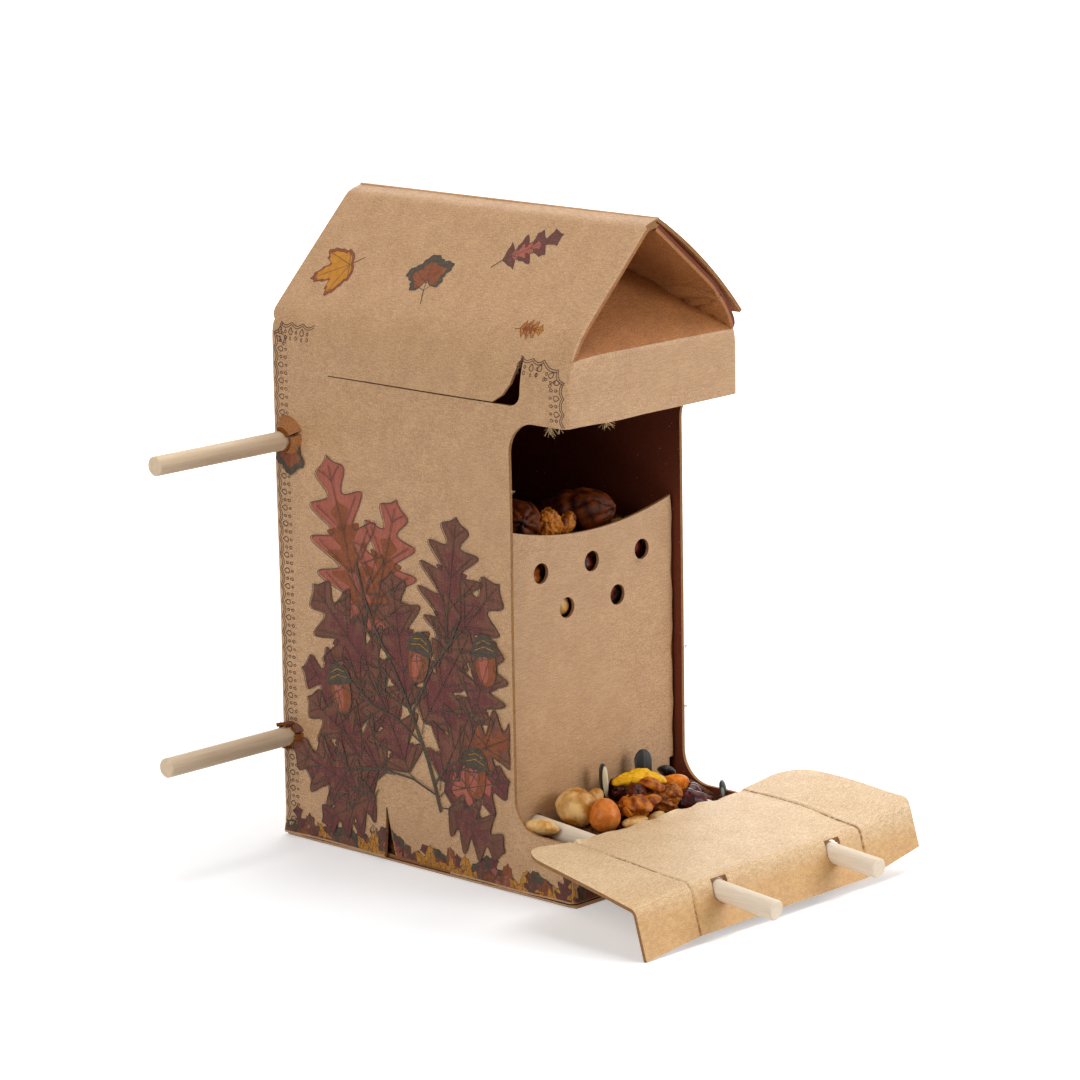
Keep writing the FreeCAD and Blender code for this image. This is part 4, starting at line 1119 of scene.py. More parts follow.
def print_mesh(sheet):
    """The ink of a sheet as one mesh in the UVW plane, and the inks in the order of its materials."""
    width = bpy.context.scene.feeder_print.line / MM
    inks = []
    flat = bmesh.new()

    def take(mesh, name, lift, squash):
        """Add a mesh in one ink at its height, with its own height squashed."""
        known = len(flat.faces)
        verts = len(flat.verts)
        copied(flat, mesh)
        flat.faces.ensure_lookup_table()
        flat.verts.ensure_lookup_table()
        if name not in inks:
            inks.append(name)
        for face in flat.faces[known:]:
            face.material_index = inks.index(name)
        for vert in flat.verts[verts:]:
            vert.co.z = lift + vert.co.z * squash

    for order, (name, layer, points) in enumerate(sheet.fills):
        lift = INK_LIFT + LAYER_LIFT * layer + FILL_LIFT * (order % FILL_ROUND)
        take(curve_mesh([(points, True)]), name, lift, 0)
    top = LINE_LIFT + LAYER_LIFT * max([layer for name, layer, points in sheet.fills], default=0)
    for name, share in sorted({(name, share) for name, points, closed, share in sheet.lines}):
        paths = [(points, closed) for other, points, closed, width_share in sheet.lines
                 if other == name and width_share == share]
        take(curve_mesh(paths, width * share), name, top, LINE_FLATNESS)
    return flat, inks


def press(name, sheet, origin, right, up, clip=(), shape=None):
    """Lay a sheet's ink on a panel: cut it with the panel's cells, place it and bend it with the board."""
    flat, inks = print_mesh(sheet)
    for point, normal in clip:
        cut(flat, Vector((*point, 0)), Vector((*normal, 0)), True)
    right = Vector(right)
    up = Vector(up)
    turned = Matrix((right, up, right.cross(up))).transposed().to_4x4()
    bmesh.ops.transform(flat, matrix=Matrix.Translation(Vector(origin)) @ turned, verts=flat.verts)
    cut_into_cells(flat)
    if shape:
        warp(flat, shape)
    warp(flat, settled)
    finish_piece(flat, name, "box", [], inks, 60)


def wall_lace():
    """The lace border of the left wall: up its rear edge, along the eave and round its front upper corner."""
    sheet = Sheet()
    pitch = bpy.context.scene.feeder_print.lace_pitch / MM
    rear = 2.2 - HALF_DEPTH
    count = round((EAVE - 7) / pitch)
    cusps = [(rear, WALL_LOW.z + (EAVE - 5 - WALL_LOW.z) * index / count) for index in range(count + 1)]
    cusps += [(rear + 3.4, EAVE - 0.4)] + [(rear + 9 + 5.8 * index, EAVE - 0.2) for index in range(3)]
    for start, end in zip(cusps, cusps[1:]):
        lace_scallop(sheet, start, end)
    front = [(51.2, 195.3), (56.8, 194.9), (62.2, 194.9), (69.4, 191.9), (73.2, 187.3), (73.5, 181.6),
             (73.7, 176.0), (73.8, HEADER_LOW + 0.4)]
    for start, end in zip(front, front[1:]):
        lace_scallop(sheet, start, end)
    return sheet


# Kinds of fallen leaves in their order: outline, ink and heart's ink
FALLEN = [("field", "ochre", None), ("oak", "plum", "brown"), ("round", "charcoal", "rust"),
          ("pointed", "plum", "red"), ("field", "rust", "red"), ("oak", "brown", "plum"),
          ("field", "ochre", None), ("pointed", "plum", "brown"), ("round", "charcoal", "brown"),
          ("field", "rust", "ochre"), ("oak", "plum", None)]


def band_leaves(low, high, seed):
    """Fallen leaves in a band along the foot, overlapping, in the order of the list."""
    sheet = Sheet()
    draw = random.Random(seed)
    across = low - 3
    order = 0
    while across < high + 4:
        kind, base, heart = FALLEN[order % len(FALLEN)]
        length = draw.uniform(13.5, 17.5)
        shape = {"field": field_maple(length * 0.85), "round": wider(round_leaf(length), 1.05),
                 "oak": oak(length, length * 0.55), "pointed": pointed_oak(length, length * 0.6)}[kind]
        height = draw.uniform(-5.0, -2.4) if base != "ochre" else draw.uniform(-3.0, -1.0)
        sheet.leaf(shape, (across, height), draw.uniform(-38, 38), base, heart, stem=0.2,
                   layer=2 * (order % 3) + (2 if base == "ochre" else 0), weight=0.6)
        across += draw.uniform(3.8, 5.2)
        order += 1
    return sheet


def acorn(sheet, spot, turn):
    """An acorn: a rust nut with a pointed end in a scaly charcoal cup."""
    nut = [(5.2 * math.sin(math.pi * step / 24) ** 0.8, 18 * (1 - math.cos(math.pi * step / 24)) / 2)
           for step in range(25)]
    nut = nut + [(-u, v) for u, v in nut[-2:0:-1]]
    sheet.fill("rust", placed(nut, spot, turn), ACORN_LAYER)
    sheet.fill("red", placed([(u * 0.4 + 1, v * 0.8 + 2) for u, v in nut], spot, turn), ACORN_LAYER + 1)
    sheet.line("charcoal", placed(nut, spot, turn), True)
    cup = [(6.4 * math.cos(math.pi * step / 14), -1 + 7.5 - 7.5 * math.sin(math.pi * step / 14))
           for step in range(15)]
    rim = [(-6.4 + 1.6 * step, 7.2) for step in range(1, 8)]
    sheet.fill("charcoal", placed(cup + rim, spot, turn), ACORN_LAYER + 2)
    for half, high, low in ((4.6, 4.8, 3.4), (3.4, 2.4, 1.2)):
        sheet.line("ochre", placed([(-half, high), (0, low), (half, high)], spot, turn), False, 0.7)


# The spray's branches: points and width as a share of a usual line
STEM = [(10, 24), (7.5, 32), (4, 42), (-1, 52), (-6, 62), (-13, 74), (-21, 86), (-27, 98), (-31, 110)]
BRANCHES = [(STEM[:4], 4.0), (STEM[3:6], 3.4), (STEM[5:], 2.6),
            ([(-4, 58), (2, 68), (8, 78), (17, 88), (22, 98)], 2.4),
            ([(7, 34), (14, 42), (24, 46), (30, 48)], 2.2), ([(8, 30), (-4, 34), (-18, 35), (-34, 33)], 2.2),
            ([(1, 48), (-12, 55), (-24, 58), (-36, 66)], 2.2)]
# The spray's leaves from the lowest layer up: length, width, root, turn in degrees, ink and heart's ink
SPRAY_LEAVES = [
    (62, 32, (-28, 88), 16, "red", "rust"), (54, 30, (-24, 84), -16, "red", "rust"),
    (46, 28, (14, 88), -8, "brown", "plum"), (42, 26, (12, 82), -44, "brown", "plum"),
    (50, 31, (-18, 64), 46, "brown", "plum"), (46, 28, (-16, 58), 80, "plum", "brown"),
    (50, 29, (-6, 60), 8, "brown", "plum"), (44, 27, (2, 56), -34, "brown", "plum"),
    (46, 27, (-18, 34), 62, "brown", "plum"), (40, 25, (-22, 34), 98, "plum", "brown"),
    (42, 26, (-6, 36), 28, "brown", "plum"), (38, 25, (10, 36), -30, "plum", "brown"),
    (36, 23, (20, 46), -66, "brown", "rust"), (34, 23, (12, 32), -74, "plum", "red"),
    (34, 22, (26, 60), -22, "brown", "plum"), (38, 24, (-30, 24), 74, "brown", "plum"),
    (32, 20, (-24, 24), 118, "plum", "brown"), (30, 20, (14, 26), -112, "brown", "plum")]
ACORNS = (((33, 92), 186), ((2, 88), 170), ((-42, 70), 190), ((28, 50), 178))
# Layers of the acorns and of the leaf at the upper dowel, over all the leaves
ACORN_LAYER = 38
TOP_LAYER = 40


def oak_spray():
    """A generic spray of large oak leaves with acorns, and a leaf round the upper dowel's hole."""
    sheet = Sheet()
    for path, width in BRANCHES:
        sheet.line("charcoal", path, False, width)
    for order, (length, width, spot, turn, base, heart) in enumerate(SPRAY_LEAVES):
        sheet.leaf(oak(length, width * 1.15, 5 if length > 44 else 4), spot, turn, base, heart, stem=0.1,
                   layer=2 * order)
    for spot, turn in ACORNS:
        acorn(sheet, spot, turn)
    sheet.leaf(wider(round_leaf(13.5), 1.15), (-63.5, 150.5), 176, "charcoal", "rust", stem=0.0,
               layer=TOP_LAYER, core=0.72)
    return sheet


def roof_leaves():
    """Four single leaves on the roof's left slope."""
    sheet = Sheet()
    sheet.leaf(field_maple(17), (-50.5, 27), 119, "rust", "ochre", "brown", 0.4, core=0.84)
    sheet.leaf(wider(round_leaf(17.5), 1.25), (-8.2, 20.5), 17, "charcoal", "rust", stem=0.42, core=0.72)
    sheet.leaf(pointed_oak(25, 14.5), (19.6, 37.5), -56, "plum", "red", stem=0.2, core=0.5)
    sheet.leaf(pointed_oak(10.8, 8), (46, 10.6), -88, "ochre", "rust", "rust", 0.2)
    return sheet


def keep_within(low, high):
    """The two cuts that keep what lies between two places along U."""
    return [((low, 0), (-1, 0)), ((high, 0), (1, 0))]


# Distances in millimetres that the print keeps from a panel's ends and from its foot
PRINT_EDGE = 0.15
PRINT_FOOT = 0.9


class FEEDER_OT_print(bpy.types.Operator):
    """Print the lace border, the fallen leaves, the spray of oak leaves and the leaves on the roof"""
    bl_idname = "feeder.print"
    bl_label = "Print"

    def execute(self, context):
        """Press each printed area onto its panel."""
        wall = ((-HALF_WIDTH, 0, 0), (0, -1, 0), (0, 0, 1))
        foot = [((0, WALL_LOW.z + PRINT_FOOT), (0, -1))]
        rear, front = -HALF_DEPTH + PRINT_EDGE, HALF_DEPTH - PRINT_EDGE
        press("lace_border_print", wall_lace(), *wall, keep_within(rear, front) + foot)
        press("oak_spray_print", oak_spray(), *wall, keep_within(rear, -CHUTE_LOW.y + 1.6) + foot)
        band = band_leaves(-HALF_DEPTH, HALF_DEPTH, 3)
        lock_rear, lock_front = -LOCK_HIGH.y, -LOCK_LOW.y
        press("fallen_leaves_rear_print", band, *wall, keep_within(rear, lock_rear - 0.4) + foot, foot_lifts)
        press("fallen_leaves_lock_print", band, *wall, foot + keep_within(lock_rear + 0.4, lock_front - 0.3),
              lock_is_pushed_in)
        press("fallen_leaves_front_print", band, *wall, keep_within(lock_front + 0.3, front) + foot,
              foot_lifts)
        left, right = -HALF_WIDTH + PRINT_EDGE, HALF_WIDTH - PRINT_EDGE
        press("front_leaves_print", band_leaves(-HALF_WIDTH, HALF_WIDTH, 11), (0, -HALF_DEPTH, 0),
              (1, 0, 0), (0, 0, 1), keep_within(left, right) + [((0, 17.5), (0, 1))] + foot)
        press("roof_leaves_print", roof_leaves(), (-HALF_WIDTH, 0, EAVE), (0, -1, 0),
              (SLOPE_WAY.x, 0, SLOPE_WAY.y))
        return {"FINISHED"}


# Torn board

# Flaps torn round each dowel: first and last angle in degrees, base radius at both, tip radius, height and
# material
TORN_FLAPS = {
    # The upper flaps take material 3, the liner with painted shade
    "upper": ((30, 112, 8.6, 9.4, 4.2, 4.2, 3), (-66, 20, 6.2, 7.8, 4.2, 3.6, 3),
              (-150, -84, 5.6, 5.4, 3.9, 2.2, 3), (128, 196, 6.0, 5.6, 3.9, 2.4, 3)),
    "lower": ((70, 128, 5.0, 5.2, 5.4, 4.6, 2), (22, 66, 7.2, 5.4, 4.2, 2.2, 2),
              (-14, 14, 6.0, 6.4, 4.4, 3.0, 1), (-62, -16, 5.6, 7.6, 4.0, 3.0, 2),
              (-128, -72, 5.2, 5.0, 4.9, 3.0, 2), (136, 215, 5.4, 5.4, 4.4, 3.0, 2)),
}
FLAP_STEPS = 6
# How far out the rings of a flap's points lie, from its base to its tip
FLAP_RINGS = (0.0, 0.5, 0.84, 1.0)
FLAP_THICKNESS = 1.1
# Index of the torn fibre among the materials of the flaps
TORN = 1


def torn_flap(target, middle, flap, draw):
    """One flap of board folded out of the hole: its base in the wall, its jagged tip against the dowel."""
    first, last, base_first, base_last, tip, height, material = flap
    jags = [draw.uniform(-0.3, 0.9) for _ in range(FLAP_STEPS + 1)]
    middle = Vector(middle)
    tip_ring = len(FLAP_RINGS) - 1
    tab = bmesh.new()
    bmesh.ops.create_grid(tab, x_segments=FLAP_STEPS, y_segments=tip_ring, size=1)
    for face in tab.faces:
        at_tip = face.calc_center_median().y > 1 - 2 / tip_ring
        face.material_index = TORN if at_tip else material
    for vert in tab.verts:
        step = round((vert.co.x + 1) / 2 * FLAP_STEPS)
        ring = round((vert.co.y + 1) / 2 * tip_ring)
        share, out_share = step / FLAP_STEPS, FLAP_RINGS[ring]
        angle = math.radians(first + (last - first) * share)
        base = base_first + (base_last - base_first) * share
        jag = jags[step] if ring == tip_ring else 0
        radius = base + (tip - base) * out_share + max(0.0, jag) * 0.4
        out = height * out_share ** 0.85 + jag * 0.8 - (0.25 if ring == 0 else 0)
        vert.co = middle + Vector((-out, -math.cos(angle) * radius, math.sin(angle) * radius))
    tab.normal_update()
    if sum(face.normal.dot(face.calc_center_median() - middle) for face in tab.faces) < 0:
        bmesh.ops.reverse_faces(tab, faces=tab.faces)
    bmesh.ops.solidify(tab, geom=tab.faces[:] + tab.edges[:] + tab.verts[:], thickness=FLAP_THICKNESS)
    bmesh.ops.recalc_face_normals(tab, faces=tab.faces)
    tab.normal_update()
    for face in tab.faces:
        if face.normal.dot((face.calc_center_median() - middle).normalized()) <= 0.2:
            face.material_index = TORN
    mesh = bpy.data.meshes.new("flap")
    tab.to_mesh(mesh)
    tab.free()
    copied(target, mesh)


def stray_way(draw):
    """A random vector within a cube."""
    return Vector([draw.uniform(-1, 1) for _ in range(3)])


def tuft(paths, spot, way, length, count):
    """Add the curved fibres of one torn nick to a list of paths."""
    draw = random.Random(len(paths))
    for _ in range(count):
        stray = stray_way(draw)
        start = Vector(spot) + stray * 0.35
        aim = (Vector(way) + stray * 0.75).normalized() * length * draw.uniform(0.4, 1.1)
        curl = stray_way(draw) * length * 0.18
        paths.append([start, start + aim * 0.5 + curl, start + aim])


FIBRE_RADIUS = 0.055


def fibre_piece(name, paths):
    """Thin paper fibres along paths in space."""
    data = bpy.data.curves.new(name, "CURVE")
    data.dimensions = "3D"
    data.bevel_depth = FIBRE_RADIUS
    data.bevel_resolution = 0
    data.resolution_u = 3
    for path in paths:
        spline = data.splines.new("NURBS")
        spline.points.add(len(path) - 1)
        for knot, point in zip(spline.points, path):
            knot.co = (*point, 1)
        spline.order_u = 3
        spline.use_endpoint_u = True
    fibres = bmesh.new()
    copied(fibres, mesh_of(data))
    finish_piece(fibres, name, "box", [], ["fibre"])


# Where fibres stand out of nicks and cut corners: place, way, length and number of the fibres
NICKS = (
    ((-HALF_WIDTH + 0.6, -66.3, HEADER_LOW + 0.2), (0, 0, -1), 3.6, 24),
    ((-24.1, -HALF_DEPTH + 0.5, HEADER_LOW), (0, 0, -1), 3.4, 22),
    ((-HALF_WIDTH + 0.6, -HALF_DEPTH + 3, HEADER_LOW), (0, 0, -1), 1.6, 10),
    ((-HALF_WIDTH + 0.6, -47, 146), (0, -1, 0.3), 1.6, 14),
    ((-HALF_WIDTH + 0.6, -46, 116.6), (0, -1, 0.2), 1.6, 12),
    ((-CHUTE_HIGH.x + 1, CHUTE_LOW.y - 0.1, CHUTE_HIGH.z - 2), (0.6, -0.6, -0.6), 2.0, 14),
    ((HALF_WIDTH - 0.6, CHUTE_HIGH.y - 3.2, 146.5), (0.3, -1, 0), 1.8, 14),
    ((HALF_WIDTH - 0.6, CHUTE_HIGH.y - 3.2, 117.4), (0.3, -1, 0), 2.0, 14),
    ((HALF_WIDTH - 0.6, -47.2, 74.2), (0.3, -1, 0), 1.6, 12),
    ((HALF_WIDTH - 0.6, -46.6, 51.5), (0.3, -1, 0), 1.5, 10),
    ((24.5, CHUTE_LOW.y - 0.1, 109.5), (-0.1, -0.3, -1), 2.6, 14))
# Where fibres stand along the seam between gable and right gusset, as shares of its length
SEAM_SHARES = (0.12, 0.3, 0.34, 0.55, 0.71, 0.9)
GABLE_APEX = (0, -29, 231.6)


class FEEDER_OT_torn_edges(bpy.types.Operator):
    """Tear the board round the dowels, and leave fibres at the nicks of the window"""
    bl_idname = "feeder.torn_edges"
    bl_label = "Torn edges"

    def execute(self, context):
        """Make the torn points and the tufts."""
        flaps = bmesh.new()
        draw = random.Random(5)
        for name, rows in TORN_FLAPS.items():
            low, high = box_mm(name + "_rear_dowel")
            for row in rows:
                torn_flap(flaps, (-HALF_WIDTH, (low.y + high.y) / 2, (low.z + high.z) / 2), row, draw)
        finish_piece(flaps, "torn_dowel_holes", "box", [], ["side", "torn", "brown", "roof_shade"],
                     25)
        paths = []
        for spot, way, length, count in NICKS:
            tuft(paths, spot, way, length, count)
        for share in SEAM_SHARES:
            seam = Vector(GABLE_APEX).lerp(Vector((HALF_WIDTH, -HALF_DEPTH, EAVE)), share)
            tuft(paths, seam + Vector((-0.6, -0.6, 0.4)), (-0.3, -0.6, 0.6), 1.1, 7)
        fibre_piece("torn_fibres", paths)
        return {"FINISHED"}


# Dowels

class FEEDER_OT_dowels(bpy.types.Operator):
    """Give the four beech dowels their wood"""
    bl_idname = "feeder.dowels"
    bl_label = "Dowels"

    def execute(self, context):
        """Set the material of each dowel's own node."""
        for name, wood in (("upper_rear_dowel", "beech_x_shaded"), ("lower_rear_dowel", "beech_x_shaded"),
                           ("left_landing_dowel", "beech_y"), ("right_landing_dowel", "beech_y")):
            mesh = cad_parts[name].data
            mesh.materials.clear()
            mesh.materials.append(MATERIALS[wood])
        return {"FINISHED"}


# Feed

def islands(node):
    """The middle of each separate solid of a node, in millimetres, in the order of the node."""
    copy = bmesh.new()
    copy.from_mesh(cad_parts[node].data)
    bmesh.ops.remove_doubles(copy, verts=copy.verts, dist=0.0003 * MM)
    copy.verts.ensure_lookup_table()
    left = set(copy.verts)
    found = []
    for start in copy.verts:
        if start not in left:
            continue
        left.discard(start)
        group = [start]
        for vert in group:
            for edge in vert.link_edges:
                other = edge.other_vert(vert)
                if other in left:
                    left.discard(other)
                    group.append(other)
        places = np.array([vert.co for vert in group]) / MM
        found.append(Vector((places.min(0) + places.max(0)) / 2))
    copy.free()
    return found


def ridged(point, scale, offset):
    """Noise with sharp ridges, from 0 to 1."""
    return 1 - abs(noise.noise(point * scale + Vector((offset, offset * 0.7, 0))))


def body_of_kernel(kind, point, offset):
    """Where a point of the unit sphere goes for each kind of kernel, before it is stretched."""
    x, y, z = point
    if kind == "hazelnut":
        facet = 0.07 * noise.noise(point * 1.4 + Vector((offset, 0, 0)))
        ridge = 0.025 * ridged(point, 2.2, offset)
        return Vector((x, y, z * (1.04 if z > 0 else 0.9))) * (1 + facet - ridge)
    if kind == "peanut":
        return Vector((x * (1 - 0.14 * z), y * (1 - 0.14 * z), z)) * (1 + 0.015 * noise.noise(point * 2.2))
    if kind == "seed":
        round_side = math.sqrt(max(0.0, 1 - abs(z) ** 2.6)) / max(0.14, math.sqrt(max(0.0, 1 - z * z)))
        narrow = min(1.6, round_side) * (1 - 0.34 * max(0.0, -z) ** 1.5)
        return Vector((x * narrow, y * narrow * (1 - 0.45 * x * x), z))
    if kind == "pine":
        narrow = 1 - 0.16 * max(0.0, x) ** 2
        return Vector((x, y * narrow, z * narrow)) * (1 + 0.02 * noise.noise(point * 3))
    if kind == "raisin":
        wrinkle = ridged(point, 1.1, offset) * 0.22 + ridged(point, 2.6, offset) * 0.06
        return point * (0.74 + wrinkle)
    if kind == "walnut":
        around = math.atan2(z, y)
        bend = noise.noise(point * 1.3 + Vector((offset, 0, 0)))
        lobes = abs(math.sin(3.5 * around + 2.4 * x + 1.6 * bend))
        groove = 0.16 * math.exp(-(x / 0.11) ** 2)
        return point * (0.87 + 0.1 * lobes ** 0.6 + 0.04 * noise.noise(point * 3.4) - 0.6 * groove)
    if kind == "crumb":
        wrinkle = 0.36 * ridged(point, 1.9, offset) + 0.12 * ridged(point, 5.2, offset)
        chips = 0.08 * noise.cell(point * 1.6 + Vector((offset, 0, 0)))
        return point * (0.55 + wrinkle + chips + 0.06 * noise.noise(point * 9))
    if kind == "slice":
        return Vector((x, y, z * (0.8 + 0.4 * noise.noise(point * 2)) + 0.5 * math.sin(2.6 * x + offset)))
    arch = 0.8 * (1 - x * x) - 0.45
    scallop = 1 + 0.1 * math.sin(15 * x + offset) + 0.08 * math.sin(23 * x)
    twist = 0.3 * math.sin(5 * x + 1) * y
    return Vector((x, y * scallop, z * (1 + 0.35 * noise.noise(point * 4)) + arch + twist))


def put_kernel(target, kind, middle, size, turn, offset, index, fineness=4):
    """Add one kernel: a subdivided ball shaped to its kind, stretched, turned and placed."""
    own = target.verts.layers.float_vector.get("own") or target.verts.layers.float_vector.new("own")
    ball = bmesh.ops.create_icosphere(target, subdivisions=fineness, radius=1)["verts"]
    rotation = Euler([math.radians(value) for value in turn]).to_matrix()
    half = Vector(size) / 2
    for vert in ball:
        point = vert.co.copy()
        vert[own] = point
        shaped = body_of_kernel(kind, point, offset)
        stretched = Vector([shaped[axis] * half[axis] for axis in range(3)])
        vert.co = Vector(middle) + rotation @ stretched
        for face in vert.link_faces:
            face.material_index = index


# How each kernel of a node is drawn: kind, size, turn in degrees, material and shift from its solid's middle
DRAWN = {
    "tray_hazelnuts": [("hazelnut", (16, 15.2, 14.4), (15, 20, 0), 0, (0, 0, -1.6)),
                       ("hazelnut", (6.8, 5.4, 6), (40, 0, 30), 0, (-3.4, 0.2, 2.2))],
    "tray_peanuts": [("peanut", (11.4, 11, 12.4), (0, 0, 0), 0, (-1.2, 1.2, 0)),
                     ("peanut", (8.2, 8.2, 13.2), (22, 62, -36), 1, (0, 0, 0.3))],
    "tray_walnut_pieces": [("crumb", (13.5, 10, 9.5), (0, 6, -30), 2, (0, 0, 0)),
                           ("crumb", (15, 12, 10.6), (20, -6, -40), 1, (0, 0, 0)),
                           ("crumb", (17, 10.4, 11), (0, 0, -40), 0, (0, 0, 0))],
    "tray_dried_fruit": [("fruit", (20.5, 8.4, 4.8), (14, 2, -34), 0, (0, 0, 0.5)),
                         ("pine", (9.6, 6, 3.6), (8, -10, -36), 1, (0.6, -0.4, 0.4))],
    "tray_sunflower_seeds": [("seed", (4.4, 3.2, 13.4), (-4, 0, 78), 2, (0, 0, 0)),
                             ("seed", (7.4, 3.4, 13.6), (-6, 3, -24), 0, (-1.6, -0.2, 0.9)),
                             ("seed", (7, 3.8, 12.4), (66, 12, -50), 0, (-1.8, -1.2, 1.4)),
                             ("seed", (4.2, 2.6, 9.6), (-6, -26, 40), 1, (2.0, -2.4, -2.4))],
    "tray_raisins": [("raisin", (7, 6, 5.4), (0, 0, 20), 0, (0, 0, -2.6)),
                     ("raisin", (13.6, 10.4, 10), (0, 10, -40), 0, (1.2, -0.8, 0.2))],
    "tray_pine_nuts": [("pine", (12, 6.6, 5.6), (0, 10, -42), 0, (-1.6, 1.0, -1.0)),
                       ("pine", (9.6, 4.4, 4), (0, -4, 10), 0, (0, 0, -0.4))],
    "hopper_walnuts": [("walnut", (30, 25, 18), (10, 8, 125), 0, (0, 0, -2.2)),
                       ("walnut", (27, 23, 19), (0, 15, 60), 0, (0, 0, -2.0)),
                       ("crumb", (14, 8, 12), (0, 24, 20), 1, (0, 0, -0.4)),
                       ("crumb", (10, 6, 7), (0, -35, 10), 1, (-0.6, 0, -1.6))],
}
# The slot and the materials of each node's kernels
LOOSE = {
    "tray_hazelnuts": ("hazelnut", ["hazelnut"]), "tray_peanuts": ("peanut", ["peanut", "peanut_orange"]),
    "tray_walnut_pieces": ("walnut", ["walnut_dark", "walnut_tan", "fruit_dark"]),
    "tray_dried_fruit": ("dried_fruit", ["fruit", "pine"]),
    "tray_sunflower_seeds": ("sunflower_seed", ["husk", "husk_grey", "husk_edge"]),
    "tray_raisins": ("raisin", ["raisin"]), "tray_pine_nuts": ("pine_nut", ["pine"]),
    "hopper_walnuts": ("walnut", ["walnut", "walnut_flesh"]),
}


class FEEDER_OT_loose_feed(bpy.types.Operator):
    """Lay the nuts, seeds and fruit that show on the heaps"""
    bl_idname = "feeder.loose_feed"
    bl_label = "Loose feed"

    def execute(self, context):
        """Make one piece for each kind of kernel, where its node's solids lie."""
        for node, (slot, materials) in LOOSE.items():
            found = islands(node)
            if len(found) != len(DRAWN[node]):
                raise RuntimeError("%s has %d solids" % (node, len(found)))
            kernels = bmesh.new()
            for order, (middle, row) in enumerate(zip(found, DRAWN[node])):
                kind, size, turn, index, shift = row
                put_kernel(kernels, kind, middle + Vector(shift), size, turn, 3.1 * order + len(node), index,
                           5)
            finish_piece(kernels, node.replace("tray_", "loose_") + "_kernels", "box", [node],
                         materials, 60)
        return {"FINISHED"}


# The kernels strewn over the heaps: kind, size and material
MIXTURE = [("crumb", (12, 9, 9), 2), ("raisin", (9, 8, 7), 5), ("crumb", (10, 8, 7), 6),
           ("peanut", (9, 9, 13), 1), ("crumb", (9, 8, 8), 2), ("seed", (6.5, 3.4, 13), 4),
           ("hazelnut", (12, 12, 12), 3), ("pine", (12, 5, 5), 7), ("seed", (6.5, 3.4, 13), 4)]
MIXTURE_MATERIALS = ["shade", "peanut", "walnut_dark", "hazelnut", "husk", "raisin", "fruit_dark", "pine",
                     "walnut_tan"]


def scatter(target, low, high, surface, count, draw):
    """Strew kernels over a heap's top: even cells with random shifts, on the surface's height."""
    columns = max(1, round(math.sqrt(count * (high[0] - low[0]) / (high[1] - low[1]))))
    rows = max(1, round(count / columns))
    for row in range(rows):
        for column in range(columns):
            x = low[0] + (high[0] - low[0]) * (column + 0.5 + draw.uniform(-0.35, 0.35)) / columns
            y = low[1] + (high[1] - low[1]) * (row + 0.5 + draw.uniform(-0.35, 0.35)) / rows
            kind, size, index = draw.choice(MIXTURE)
            turn = [draw.uniform(0, 360) for _ in range(3)]
            put_kernel(target, kind, (x, y, surface(y) + draw.uniform(-2.4, 0.6)), size, turn,
                       draw.uniform(0, 50), index, 3)


# Slices and crumbs between the loose kernels of the tray: kind, middle, size, turn in degrees and material
BETWEEN = [("slice", (-4.6, -68.4, 28.6), (11, 6, 3.4), (50, 10, -50), 6),
           ("slice", (1.4, -68.0, 28.2), (10, 5, 3), (40, -20, -30), 6),
           ("slice", (8.6, -63.0, 32.4), (10, 5, 3.4), (30, 10, -60), 6),
           ("crumb", (15.5, -66.5, 28.2), (9, 7, 7), (0, 30, 0), 8),
           ("crumb", (2.6, -60.5, 30.0), (11, 8, 7), (0, 0, 40), 2),
           ("crumb", (24.0, -60.5, 25.5), (9, 8, 7), (0, 0, 10), 2),
           ("slice", (-7.2, -66.2, 26.4), (7, 4.4, 3), (20, 30, 20), 6),
           ("crumb", (17.5, -56.5, 27.5), (12, 9, 8), (30, 0, 10), 2),
           ("raisin", (29.5, -63.5, 25.0), (8, 7, 6), (0, 0, 30), 5),
           ("crumb", (31.0, -54.0, 26.0), (9, 8, 7), (0, 0, 80), 2)]
# Kernels that show through the vents: place along X and Z, kind, size, turn in degrees and material
BEHIND_VENTS = ((-27.5, 112, "crumb", (9, 5, 9), (0, 0, 0), 6),
                (-25, 110.5, "crumb", (6, 4, 5), (0, 30, 0), 3),
                (0, 111, "raisin", (11, 5, 10), (0, 0, 0), 5),
                (26, 113.5, "raisin", (9, 4, 11), (0, 20, 0), 5),
                (-13, 98.5, "hazelnut", (9, 6, 8), (0, 0, 0), 3),
                (12.5, 99.5, "crumb", (9, 5, 9), (0, 0, 0), 2),
                (15, 97, "seed", (5, 3, 9), (0, 60, 0), 4))
# How far in millimetres a heap's solid sinks, and how far below its top the middles of the kernels lie
HEAP_SINKS = 1.5


def heap_surface(heap, low, high):
    """A function for the height of the kernels' middles at a place along Y."""
    front, back = [max(vert.co.z for vert in heap.verts if abs(vert.co.y - edge) < 0.5)
                   for edge in (low.y, high.y)]
    return lambda y: front + (back - front) * (y - low.y) / (high.y - low.y) - HEAP_SINKS


